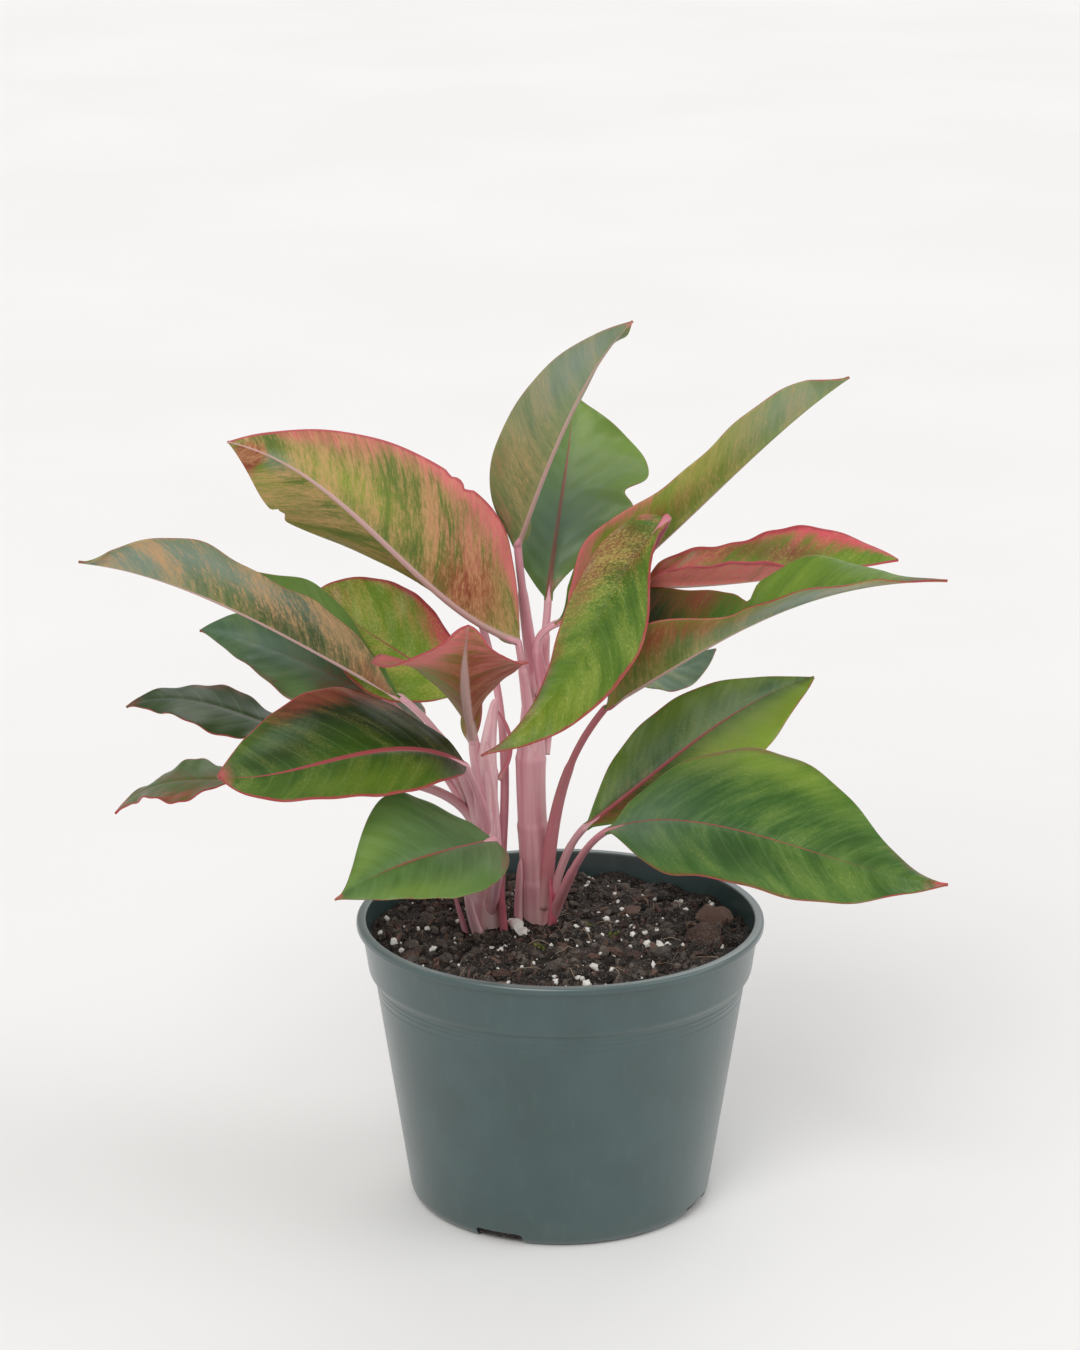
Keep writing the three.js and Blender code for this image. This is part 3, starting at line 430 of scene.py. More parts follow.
            rust=[0, (0.92, 0.2, 0.1, 1.0, 0.5)], fleck=[2.4, (0.5, 0.7, 0.2, 0.3, 0.5)], lime=[0.7]),
        under=dict(pink=[0.3])),
    "blade_18": dict(
        edge=[1.6, 2.2], rib=[1.2, 3.2], faint=[0, 0.1],
        upper=dict(pink=[0.8], lime=[0.3]),
        under=dict(
            pink=[0, (0.72, -0.6, 0.25, 0.5, 0.5), (0.75, 0.7, 0.25, 0.4, 1.3),
                  (0.92, 0.2, 0.1, 0.5, 0.7)], rust=[0.35, (0.5, -0.5, 0.4, 0.6, 1.2)], fleck=[0.6],
            lime=[0.4, (0.4, 0.4, 0.2, 0.4, 0.5)])),
    "blade_19": dict(
        edge=[1.2, 1.2], rib=[1.0, 1.6],
        upper=dict(rust=[0.5], deep=[0.5]),
        under=dict(rust=[0.5])),
    "blade_20": dict(
        edge=[0.8, 0.8], rib=[1.0, 1.6],
        upper=dict(rust=[0.3], deep=[0.5]),
        under=dict(grey_and_sheen=[0.3])),
}

# Stalk tints where they differ from plain pink: red, grey-green and pale, each from 0 to 1.
STALK_TINTS = {
    "blade_01": (0.2, 0.0, 0.5), "blade_05": (0.6, 0.0, 0.0), "blade_07": (0.6, 0.3, 0.0),
    "blade_09": (0.0, 0.45, 0.35), "blade_10": (0.35, 0.25, 0.0), "blade_13": (0.2, 0.2, 0.3),
    "blade_14": (0.2, 0.2, 0.2), "blade_15": (0.0, 0.1, 0.5), "blade_19": (0.35, 0.0, 0.2),
}
PLAIN_TINT = (0.1, 0.0, 0.3)

# Short sheaths left at the canes' feet: three points, two radii, how flat, and their tint.
SHEATHS = {
    "shoot_left": [
        [[[-38, 8, 106], [-41, 6, 118], [-43, 5, 126]], (1.9, 0.9), 0.8, (0.3, 0.0, 0.1)],
        [[[-32, 5, 106], [-36, 4, 118], [-38, 5, 130]], (3.4, 1.6), 0.6, (0.0, 0.1, 0.7)],
        [[[-23, 8, 106], [-24, 8, 122], [-26, 9, 140]], (2.5, 1.6), 0.8, (0.7, 0.0, 0.0)],
        [[[-25, 15, 172], [-20, 16, 187], [-26, 15, 202]], (1.5, 0.9), 0.8, (0.6, 0.1, 0.0)],
        [[[-26, 11, 140], [-27, 11, 165], [-30, 9, 190]], (3.0, 1.5), 0.6, (0.1, 0.0, 0.5)],
    ],
    "shoot_right": [
        [[[-17, 16, 106], [-17, 15, 120], [-16, 15, 138]], (2.4, 1.4), 0.6, (0.0, 0.2, 0.5)],
        [[[-4, 14, 106], [-3, 13, 117], [-4, 14, 130]], (2.6, 1.3), 0.7, (0.8, 0.0, 0.0)],
    ],
}


def linear(code):
    """Turns an sRGB hex colour into the linear red, green, blue and alpha that Blender works in."""
    share = np.array([int(code[i:i + 2], 16) for i in (1, 3, 5)]) / 255
    flat = np.where(share <= 0.04045, share / 12.92, ((share + 0.055) / 1.055) ** 2.4)
    return (*flat.tolist(), 1.0)


def unit(arrows):
    """Scales each vector of an array to length 1."""
    return arrows / np.maximum(np.linalg.norm(arrows, axis=-1, keepdims=True), 1e-9)


def ease(low, high, x):
    """Rises from 0 at low to 1 at high: 3t^2 - 2t^3, with t held between 0 and 1."""
    t = np.clip((x - low) / (high - low), 0, 1)
    return t * t * (3 - 2 * t)


def round_end(x, start, least=0.0):
    """Falls as a quarter circle from 1 at start to 0 at x = 1, with its square held above least."""
    return np.sqrt(np.clip(1 - ((x - start) / (1 - start)).clip(0) ** 2, least, 1))


def through(points, t):
    """The cubic through four points at t = 0, 1/3, 2/3 and 1, by Lagrange's weights."""
    t = np.asarray(t, float)[:, None]
    weights = np.concatenate([
        (1 - 3 * t) * (2 - 3 * t) * (1 - t) / 2,
        9 * t * (2 - 3 * t) * (1 - t) / 2,
        9 * t * (3 * t - 1) * (1 - t) / 2,
        t * (3 * t - 1) * (3 * t - 2) / 2,
    ], axis=1)
    return weights @ np.array(points, float)


def heading(points, t):
    """The direction along that cubic, from two points close on either side."""
    return unit(through(points, t + 1e-3) - through(points, t - 1e-3))


def ring_quads(rows, sides):
    """The numbers of points in closed rings, row by row, and the quads between the rings."""
    index = np.arange(rows * sides).reshape(rows, sides)
    ahead = np.roll(index, -1, axis=1)
    return index, np.stack([index[:-1], ahead[:-1], ahead[1:], index[1:]], axis=-1).reshape(-1, 4)


def make_piece(name, points, faces, finishes, face_finish=None, marks=None, crease=None):
    """One mesh object on the plant's only body: points in millimetres, faces, materials and attributes."""
    mesh = bpy.data.meshes.new(name)
    mesh.from_pydata((np.asarray(points) * MM).tolist(), [], faces)
    for finish in finishes:
        mesh.materials.append(finish)
    if face_finish is not None:
        mesh.polygons.foreach_set("material_index", np.asarray(face_finish, np.int32))
    for mark, values in (marks or {}).items():
        kind = "FLOAT_VECTOR" if np.ndim(values) == 2 else "FLOAT"
        layer = mesh.attributes.new(mark, kind, "POINT")
        field = "vector" if kind == "FLOAT_VECTOR" else "value"
        layer.data.foreach_set(field, np.ravel(values).astype(np.float32))
    mesh.polygons.foreach_set("use_smooth", np.ones(len(mesh.polygons), bool))
    if crease:
        mesh.set_sharp_from_angle(angle=math.radians(crease))
    mesh.update()
    piece = bpy.data.objects.new(name, mesh)
    bpy.context.scene.collection.objects.link(piece)
    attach(piece, "root")
    return piece


# Leaf blades

def half_width(half, lobe, u):
    """Half the blade's width at u: a sine rise to the widest place and a sine fall, each to a power."""
    full, widest, swell, taper = half
    rise = np.sin(np.pi / 2 * np.minimum(1, u / widest)) ** swell
    fall = np.sin(np.pi / 2 * np.minimum(1, (1 - u) / (1 - widest))) ** taper
    amount, count, shift = lobe
    width = full * rise * fall * (1 + amount * np.sin(2 * np.pi * count * u + shift))
    return np.maximum(width, BASE_HALF + (TIP_HALF - BASE_HALF) * u)


def blade_half(leaf, side, u, reach, nicks):
    """One half of the blade's middle surface, as distances across, distances up and widths.

    Each nick narrows the half by its depth times a bell round its place. The slope at a share a of
    the half is fold + curl * a, in degrees. The distances are that slope's cosine and sine summed from
    the midrib out, times the width, and the ripple adds a^2 times two sines of u.
    """
    width = half_width(leaf["right" if side else "left"], leaf.get("lobe", (0, 0, 0)), u)
    for half, place, span, depth in nicks:
        if half == side:
            width = width * (1 - depth * np.exp(-((u - place) / span) ** 2))
    fullness = np.minimum(1, width / FULL_FOLD_HALF)
    fold = leaf["fold"][side]
    start = np.radians(fold[0] + (fold[1] - fold[0]) * u) * fullness
    middle = (reach[1:] + reach[:-1]) / 2
    slope = start[:, None] + math.radians(leaf["curl"][side]) * middle
    step = width[:, None] * np.diff(reach)
    zero = np.zeros((len(u), 1))
    out = np.hstack([zero, np.cumsum(np.cos(slope) * step, axis=1)])
    lift = np.hstack([zero, np.cumsum(np.sin(slope) * step, axis=1)])
    height, count, shift = leaf["wave"]
    swing = np.sin(2 * np.pi * count * u + shift + 2 * side)
    swing = swing + 0.3 * np.sin(2 * np.pi * (3.1 * count * u + shift))
    lift += height * (fullness * swing)[:, None] * reach ** 2
    return out, lift, width


def tint_map(look, side_name, u, v):
    """The strength of each tint on one side: its level all over, and a bell round each spot."""
    levels = {}
    for tint in TINTS:
        everywhere, *spots = look[side_name].get(tint, [0])
        level = np.full(np.broadcast(u, v).shape, float(everywhere))
        for along, across, reach_along, reach_across, strength in spots:
            far = ((u - along) / reach_along) ** 2 + ((v - across) / reach_across) ** 2
            level = level + strength * np.exp(-far)
        levels[tint] = np.clip(level, 0, 1)
    return levels


def blade_piece(name, leaf, look, finishes):
    """A closed leaf: the middle surface moved half its thickness to each side, with a keel below.

    The sheet swells as a cosine between the side veins, and dips as a bell along the midrib on top.
    The keel is a bell round the midrib too, lower and narrower towards the tip.
    The marks give the finishes the place on the leaf in millimetres, how far off the rib and the edge
    are, and the strength of each tint.
    """
    t = np.linspace(0, 1, BLADE_ROWS)
    u = 0.4 * t + 0.6 * (1 - np.cos(np.pi * t)) / 2
    reach = (1 - np.cos(np.pi * np.linspace(0, 1, BLADE_COLUMNS))) / 2
    halves = [blade_half(leaf, side, u, reach, look.get("nicks", [])) for side in (0, 1)]
    v = np.concatenate([-reach[:0:-1], reach])
    out = np.hstack([-halves[0][0][:, :0:-1], halves[1][0]])
    lift = np.hstack([halves[0][1][:, :0:-1], halves[1][1]])
    width = np.where(v < 0, halves[0][2][:, None], halves[1][2][:, None])

    rib = through(leaf["rib"], u)
    ahead = heading(leaf["rib"], u)
    up = np.array(leaf["face"][0]) * (1 - u)[:, None] + np.array(leaf["face"][1]) * u[:, None]
    up = unit(up - np.sum(up * ahead, axis=1, keepdims=True) * ahead)
    across = np.cross(ahead, up)
    middle = rib[:, None] + across[:, None] * out[..., None] + up[:, None] * lift[..., None]
    normal = unit(np.cross(np.gradient(middle, axis=1), np.gradient(middle, axis=0)))

    length = np.concatenate([[0], np.cumsum(np.linalg.norm(np.diff(rib, axis=0), axis=1))])
    far = np.abs(v) * width
    vein = length[:, None] - VEIN_LEAN * far - VEIN_ARCH * far ** 2 / np.maximum(width, 6)
    inner = ease(0, 0.2, np.abs(v)) * ease(1, 0.8, np.abs(v)) * ease(3, 12, width)
    swell = 0.5 - 0.5 * np.cos(2 * np.pi * vein / VEIN_SPACING)
    quilt = QUILT_HEIGHT * look.get("quilt", 1) * inner * swell
    channel = CHANNEL_DEPTH * np.exp(-(far / CHANNEL_HALF) ** 2) * (1 - 0.6 * u)[:, None] * ease(1, 5, width)
    thick = EDGE_THICKNESS + (BLADE_THICKNESS - EDGE_THICKNESS) * round_end(np.abs(v), RIM_START)
    keel_half = (KEEL_HALF - KEEL_NARROWS * u)[:, None]
    keel = RIB_DEPTH * (1 - RIB_FADE * u)[:, None] * np.exp(-(far / keel_half) ** 2)
    upper = middle + normal * (thick / 2 + quilt - channel)[..., None]
    lower = middle - normal * (thick / 2 - quilt + keel)[..., None]

    rows, columns = far.shape
    index = np.arange(rows * columns).reshape(rows, columns)
    quads = np.stack([index[:-1, :-1], index[:-1, 1:], index[1:, 1:], index[1:, :-1]], axis=-1).reshape(-1, 4)
    round_edge = np.concatenate([index[0], index[1:, -1], index[-1, -2::-1], index[-2:0:-1, 0]])
    after = np.roll(round_edge, -1)
    below = rows * columns
    rim_quads = np.stack([round_edge + below, after + below, after, round_edge], axis=-1)
    faces = np.concatenate([quads, quads[:, ::-1] + below, rim_quads]).tolist()
    face_finish = np.concatenate([np.zeros(len(quads)), np.ones(len(quads)), np.zeros(len(rim_quads))])

    margin = np.where(v < 0, look["edge"][0], look["edge"][1])
    edge_width = np.maximum(margin, 1) * (0.6 + 0.4 * np.sin(np.pi * u))[:, None]
    fade = np.maximum(0, 1 - margin) + 1.2 * ease(0.12, 0.02, u)[:, None]
    to_edge = (1 - np.abs(v)) * width / edge_width + fade
    seed = 5 * VEIN_SPACING * int(name[-2:])
    marks = {mark: [] for mark in ("leaf_place", "leaf_lines", "leaf_warm", "leaf_green")}
    for side_name, rib_half, faint in zip(("upper", "under"), look["rib"], look.get("faint", (0, 0))):
        tint = tint_map(look, side_name, u[:, None], v[None, :])
        fading = faint + RIB_TIP_FADE[side_name] * ease(0.5, 1, u)
        to_rib = far / (rib_half * (1 - RIB_NARROWS * u))[:, None] + fading[:, None]
        marks["leaf_place"].append(np.stack([vein + seed, v * width, far * 0 + seed], axis=-1).reshape(-1, 3))
        marks["leaf_lines"].append(np.stack([to_rib, to_edge, np.abs(v) + far * 0], axis=-1).reshape(-1, 3))
        for mark, kinds in (("leaf_warm", TINTS[:3]), ("leaf_green", TINTS[3:])):
            marks[mark].append(np.stack([tint[kind] for kind in kinds], axis=-1).reshape(-1, 3))
    points = np.concatenate([upper.reshape(-1, 3), lower.reshape(-1, 3)])
    piece = make_piece(name + "_sheet", points, faces, finishes, face_finish,
                       {mark: np.concatenate(values) for mark, values in marks.items()})
    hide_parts(name)


# Stalks and canes

def rod(path, radius, flat=1.0, groove=0.0, seed=0.0, tint=PLAIN_TINT):
    """A closed rod: a near-round profile carried along a path.

    At angle a the profile's radius is the path's radius, less a groove shaped as a bell round
    a = 180 degrees, on the outside of the bend. flat squeezes it in the plane that the path bends in.
    """
    path = np.asarray(path, float)
    along = unit(np.gradient(path, axis=0))
    bend = np.cross(path[len(path) // 2] - path[0], path[-1] - path[len(path) // 2])
    if np.linalg.norm(bend) < 0.02 * np.linalg.norm(path[-1] - path[0]) ** 2:
        bend = np.array([0.0, 1.0, 0.0])
    side = unit(bend - np.sum(bend * along, axis=1, keepdims=True) * along)
    top = np.cross(side, along)
    angle = np.linspace(0, 2 * np.pi, STALK_SIDES, endpoint=False)
    bell = 1 - groove * np.exp(-((angle - np.pi) / 0.55) ** 2)
    reach = np.asarray(radius, float)[:, None] * bell
    cosine, sine = np.cos(angle), np.sin(angle)
    points = (path[:, None] + top[:, None] * (reach * cosine * flat)[..., None]
              + side[:, None] * (reach * sine)[..., None])
    index, quads = ring_quads(len(path), STALK_SIDES)
    length = np.concatenate([[0], np.cumsum(np.linalg.norm(np.diff(path, axis=0), axis=1))])
    place = np.stack([reach * cosine + seed, reach * sine + seed, length[:, None] + 0 * reach], axis=-1)
    share = (length / length[-1])[:, None] + 0 * reach
    tints = np.array(tint) + 0 * share[..., None]
    return dict(points=points.reshape(-1, 3), quads=quads, caps=[index[0, ::-1].tolist(), index[-1].tolist()],
                place=place.reshape(-1, 3), share=share.ravel(), tint=tints.reshape(-1, 3))


def stalk_rod(name, leaf):
    """A leaf's stalk: the cubic through its points up to the blade, then a short run under the midrib.

    The radius shrinks straight from the root, with a small step where the stalk's sheath ends.
    """
    rib_start = np.array(leaf["rib"][0], float)
    lead = heading(leaf["rib"], np.array([0.0]))[0]
    t = np.linspace(0, 1, STALK_ROWS)
    path = through([*leaf["stalk"], (rib_start - 0.3 * lead).tolist()], t)
    u = np.linspace(0.01, STALK_UNDER_BLADE, 6)
    below = -unit(np.array(leaf["face"][0]) - np.dot(leaf["face"][0], lead) * lead)
    path = np.vstack([path, through(leaf["rib"], u) + below * 0.5])
    sheath_end = 0.62 + 0.1 * math.sin(int(name[-2:]))
    body = leaf["root"] + (STALK_TIP - leaf["root"]) * np.minimum(1, t / STALK_SLIM)
    body = body + 0.35 * ease(sheath_end, sheath_end - 0.05, t) * leaf["root"] / 3
    radius = np.concatenate([body, STALK_TIP * np.linspace(0.95, 0.3, len(u))])
    return rod(path, radius, flat=0.9, groove=0.22, seed=11.0 * int(name[-2:]),
               tint=STALK_TINTS.get(name, PLAIN_TINT))


def cane_rod(name):
    """A cane: its radius runs straight between the given ones, and swells a little at each old leaf scar."""
    cane = CANES[name]
    t = np.linspace(0, 1, CANE_ROWS)
    path = through(cane["axis"], t)
    radius = np.interp(3 * t, [0, 1, 2, 3], cane["radius"]) * round_end(t, 0.97, 0.02)
    for scar in cane["scars"]:
        above = path[:, 2] - scar
        radius = radius + 0.5 * np.where(above < 0, np.exp(above / 7), np.exp(-above / 0.8))
    return rod(path, radius, groove=0.05, seed=5.0 if name == "shoot_left" else 300.0, tint=cane["tint"])


def shoot_piece(name, finish):
    """A cane with its stalks and old sheaths, in one piece.

    A sheath is a rod on the parabola through its three points, with a rounded upper end.
    """
    rods = [cane_rod(name)]
    rods += [stalk_rod(blade, leaf) for blade, leaf in LEAVES.items() if leaf["shoot"] == name]
    for points, (low, high), flat, tint in SHEATHS[name]:
        t = np.linspace(0, 1, SHEATH_ROWS)
        ends = np.array(points, float)
        path = (ends[0] * ((1 - t) * (1 - 2 * t))[:, None] + ends[1] * (4 * t * (1 - t))[:, None]
                + ends[2] * (t * (2 * t - 1))[:, None])
        radius = (low + (high - low) * t) * round_end(t, 0.8, 0.02)
        rods.append(rod(path, radius, flat=flat, groove=0.3, seed=40.0 + low, tint=tint))
    count = 0
    faces = []
    for each in rods:
        faces += (each["quads"] + count).tolist() + [[k + count for k in cap] for cap in each["caps"]]
        count += len(each["points"])
    marks = {"stalk_place": np.concatenate([each["place"] for each in rods]),
             "stalk_share": np.concatenate([each["share"] for each in rods]),
             "stalk_tint": np.concatenate([each["tint"] for each in rods])}
    piece = make_piece(name + "_stalks", np.concatenate([each["points"] for each in rods]),
                       faces, [finish], None, marks)
    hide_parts(name)


# Pot

def rounded(corners, reach, steps=5):
    """A profile with rounded corners: each is a quadratic arc between points at its reach on either side."""
    corners = np.array(corners, float)
    profile = [corners[0]]
    for before, corner, after, cut in zip(corners[:-2], corners[1:-1], corners[2:], reach):
        first = corner + unit(before - corner) * min(cut, 0.45 * np.linalg.norm(before - corner))
        last = corner + unit(after - corner) * min(cut, 0.45 * np.linalg.norm(after - corner))
        for t in np.linspace(0, 1, steps):
            profile.append((1 - t) ** 2 * first + 2 * t * (1 - t) * corner + t * t * last)
    profile.append(corners[-1])
    return np.array(profile)


def turned(profile, sides):
    """A profile of radius and height turned about the vertical axis, with the points on the axis merged."""
    angle = np.linspace(0, 2 * np.pi, sides, endpoint=False)
    radius, height = profile[:, 0][:, None], profile[:, 1][:, None]
    points = np.stack([radius * np.cos(angle), radius * np.sin(angle), height + 0 * angle], axis=-1)
    return points.reshape(-1, 3), ring_quads(len(profile), sides)[1]


def pot_sizes():
    """The radii of the band and the wall, and the wall's slope, from the driving sizes."""
    band_top = LIP_RADIUS - LIP_OVERHANG
    band_foot = band_top - BAND_DRAFT
    wall_top = band_foot - BAND_STEP
    wall_height = POT_HEIGHT - BAND_DEPTH - STEP_DEPTH
    return band_top, band_foot, wall_top, wall_height, (wall_top - BASE_RADIUS) / wall_height


def pot_piece(finish):
    """The pot: a rounded profile turned about the axis, with the drain slots cut out by soft-edged boxes."""
    band_top, band_foot, wall_top, wall_height, slope = pot_sizes()
    band_height = POT_HEIGHT - BAND_DEPTH
    ridges = []
    for down in reversed(RIDGE_BELOW_STEP):
        z = wall_height - down
        r = BASE_RADIUS + slope * z
        ridges += [[r, z - 0.6], [r + RIDGE_HEIGHT, z], [r, z + 0.6]]
    outer = [[0, 0], [BASE_RADIUS - BASE_ROUND, 0], [BASE_RADIUS + 0.2, BASE_ROUND], *ridges,
             [wall_top, wall_height], [band_foot, band_height], [band_top, POT_HEIGHT - LIP_DEPTH],
             [LIP_RADIUS, POT_HEIGHT - LIP_DEPTH], [LIP_RADIUS, POT_HEIGHT], [band_top - WALL, POT_HEIGHT],
             [band_foot - WALL, band_height], [wall_top - WALL, wall_height],
             [BASE_RADIUS + slope * FLOOR - WALL, FLOOR], [0, FLOOR]]
    reach = [2.0, 2.5, *[0.35] * len(ridges), 1.6, 1.6, 0.8, 0.8, 1.3, 0.6, 1.6, 1.6, 1.2]
    points, quads = turned(rounded(outer, reach), POT_SIDES)
    mesh = bpy.data.meshes.new("pot_blank")
    mesh.from_pydata((points * MM).tolist(), [], quads.tolist())
    shape = bmesh.new()
    shape.from_mesh(mesh)
    bmesh.ops.remove_doubles(shape, verts=shape.verts, dist=1e-7)
    shape.to_mesh(mesh)
    shape.free()
    blank = bpy.data.objects.new("pot_blank", mesh)
    bpy.context.scene.collection.objects.link(blank)
    cutters = []
    for i in range(DRAIN_COUNT):
        angle = math.radians(DRAIN_FIRST + 360 * i / DRAIN_COUNT)
        cutter_mesh = bpy.data.meshes.new("drain_cutter")
        cutter = bmesh.new()
        bmesh.ops.create_cube(cutter, size=1.0)
        size = (DRAIN_WIDTH * MM, 2 * DRAIN_REACH * MM, 2 * DRAIN_HEIGHT * MM)
        bmesh.ops.scale(cutter, vec=size, verts=cutter.verts)
        bmesh.ops.bevel(cutter, geom=cutter.edges[:], offset=DRAIN_ROUND * MM, segments=3, profile=0.5,
                        affect="EDGES")
        bmesh.ops.translate(cutter, vec=(0, -BASE_RADIUS * MM, 0), verts=cutter.verts)
        cosine, sine = math.cos(angle), math.sin(angle)
        turn = Matrix([[cosine, -sine, 0], [sine, cosine, 0], [0, 0, 1]]).to_4x4()
        bmesh.ops.transform(cutter, matrix=turn, verts=cutter.verts)
        cutter.to_mesh(cutter_mesh)
        cutter.free()
        tool = bpy.data.objects.new("drain_cutter", cutter_mesh)
        bpy.context.scene.collection.objects.link(tool)
        cut = blank.modifiers.new("drain_slot", "BOOLEAN")
        cut.operation = "DIFFERENCE"
        cut.solver = "EXACT"
        cut.object = tool
        cutters.append(tool)
    ready = bpy.data.meshes.new_from_object(blank.evaluated_get(bpy.context.evaluated_depsgraph_get()))
    points = np.zeros(3 * len(ready.vertices))
    ready.vertices.foreach_get("co", points)
    faces = [list(polygon.vertices) for polygon in ready.polygons]
    for spare in [blank, *cutters]:
        bpy.data.objects.remove(spare)
    piece = make_piece("nursery_pot", points.reshape(-1, 3) / MM, faces, [finish], crease=38)
    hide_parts("pot")


# Potting mix

def soil_height(x, y):
    """The mix's surface: the frame's two low swells, and seeded sines from 26 down to 3.6 mm long."""
    swell = np.sin(0.09 * x + 1) * np.cos(0.11 * y) + 0.6 * np.sin(0.21 * x - 0.17 * y + 2)
    random = np.random.default_rng(CRUMB_SEED)
    lumps = 0 * x
    for length in (26, 17, 12, 9, 7, 5.5, 4.5, 4, 3.6):
        turn = random.uniform(0, 2 * np.pi)
        shift = random.uniform(0, 2 * np.pi, 2)
        a = (x * np.cos(turn) + y * np.sin(turn)) * 2 * np.pi / length + shift[0]
        b = (y * np.cos(turn) - x * np.sin(turn)) * 2 * np.pi / length + shift[1]
        lumps = lumps + 0.055 * length ** 0.7 * np.sin(a + 0.8 * np.sin(b)) * np.cos(b)
    return SOIL_LEVEL + SOIL_RELIEF * swell + lumps


def soil_body_piece(finish):
    """The mix as one closed turned body: a flat foot, the pot's inner slope, and rings of lumpy surface."""
    band_top, band_foot, wall_top, wall_height, slope = pot_sizes()
    band_height = POT_HEIGHT - BAND_DEPTH
    fill = (SOIL_LEVEL - band_height) / (POT_HEIGHT - LIP_DEPTH - band_height)
    inset = WALL + SOIL_GAP
    edge = band_foot + (band_top - band_foot) * fill - inset
    low = FLOOR + SOIL_GAP
    side = [[0, low], [BASE_RADIUS + slope * low - inset, low], [wall_top - inset, wall_height],
            [band_foot - inset, band_height], [edge, SOIL_LEVEL]]
    rings = [[r, SOIL_LEVEL] for r in np.linspace(edge - 0.8, 0, SOIL_RINGS)]
    points, quads = turned(np.array(side + rings), SOIL_SIDES)
    top = points[:, 2] >= SOIL_LEVEL
    points[top, 2] = soil_height(points[top, 0], points[top, 1])
    points[-SOIL_SIDES:, 2] = soil_height(np.zeros(1), np.zeros(1))
    shape = bmesh.new()
    mesh = bpy.data.meshes.new("mix_blank")
    mesh.from_pydata(points.tolist(), [], quads.tolist())
    shape.from_mesh(mesh)
    bmesh.ops.remove_doubles(shape, verts=shape.verts, dist=1e-4)
    shape.to_mesh(mesh)
    shape.free()
    points = np.zeros(3 * len(mesh.vertices))
    mesh.vertices.foreach_get("co", points)
    faces = [list(polygon.vertices) for polygon in mesh.polygons]
    bpy.data.meshes.remove(mesh)
    piece = make_piece("potting_mix", points.reshape(-1, 3), faces, [finish], crease=70)
    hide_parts("soil")


def ball(level):
    """The corners and triangles of a ball made of equal triangles, split level times."""
    shape = bmesh.new()
    bmesh.ops.create_icosphere(shape, subdivisions=level, radius=1.0)
    corners = np.array([vertex.co[:] for vertex in shape.verts])
    triangles = np.array([[vertex.index for vertex in face.verts] for face in shape.faces])
    shape.free()
    return corners, triangles


def turns(random, count):
    """Random rotations, as matrices from unit quaternions."""
    w, x, y, z = unit(random.normal(size=(count, 4))).T
    return np.stack([
        np.stack([1 - 2 * (y * y + z * z), 2 * (x * y - z * w), 2 * (x * z + y * w)], -1),
        np.stack([2 * (x * y + z * w), 1 - 2 * (x * x + z * z), 2 * (y * z - x * w)], -1),
        np.stack([2 * (x * z - y * w), 2 * (y * z + x * w), 1 - 2 * (x * x + y * y)], -1),
    ], -2)


def scatter(random, count, reach=74.0, clear=9.0):
    """Places spread evenly over the pot's disc, clear of the canes' feet."""
    angle = random.uniform(0, 2 * np.pi, 3 * count)
    radius = reach * np.sqrt(random.uniform(0, 1, 3 * count))
    x, y = radius * np.cos(angle), radius * np.sin(angle)
    free = np.ones(3 * count, bool)
    for cane in CANES.values():
        free &= np.hypot(x - cane["axis"][0][0], y - cane["axis"][0][1]) > clear
    return x[free][:count], y[free][:count]


def grains_piece(name, finish, random, places, sizes, shape, rough, level, sink, flat_lie=False, crease=30):
    """Many lumps in one piece: balls with each corner moved by chance, stretched, turned and set down."""
    x, y = places
    count = len(x)
    corners, triangles = ball(level)
    bumps = 1 + rough * random.uniform(-1, 1, (count, len(corners), 1))
    stretch = np.array(shape) * random.uniform(0.75, 1.3, (count, 3))
    body = corners * bumps * stretch[:, None] * np.asarray(sizes)[:, None, None]
    if flat_lie:
        turn = random.uniform(0, 2 * np.pi, count)
        tip = random.normal(0, 0.28, (2, count))
        zero, one = np.zeros(count), np.ones(count)
        cosine, sine = np.cos(turn), np.sin(turn)
        rows = [[cosine, -sine, zero], [sine, cosine, zero], [tip[0], tip[1], one]]
        spin = np.stack([np.stack(row, -1) for row in rows], -2)
    else:
        spin = turns(random, count)
    body = np.einsum("gij,gpj->gpi", spin, body)
    centre = np.stack([x, y, soil_height(x, y) + sink * np.asarray(sizes)], -1)
    points = (body + centre[:, None]).reshape(-1, 3)
    faces = (triangles[None] + (np.arange(count) * len(corners))[:, None, None]).reshape(-1, 3)
    tone = np.repeat(random.uniform(0, 1, count), len(corners))
    make_piece(name, points, faces.tolist(), [finish], None, {"grain_tone": tone}, crease)


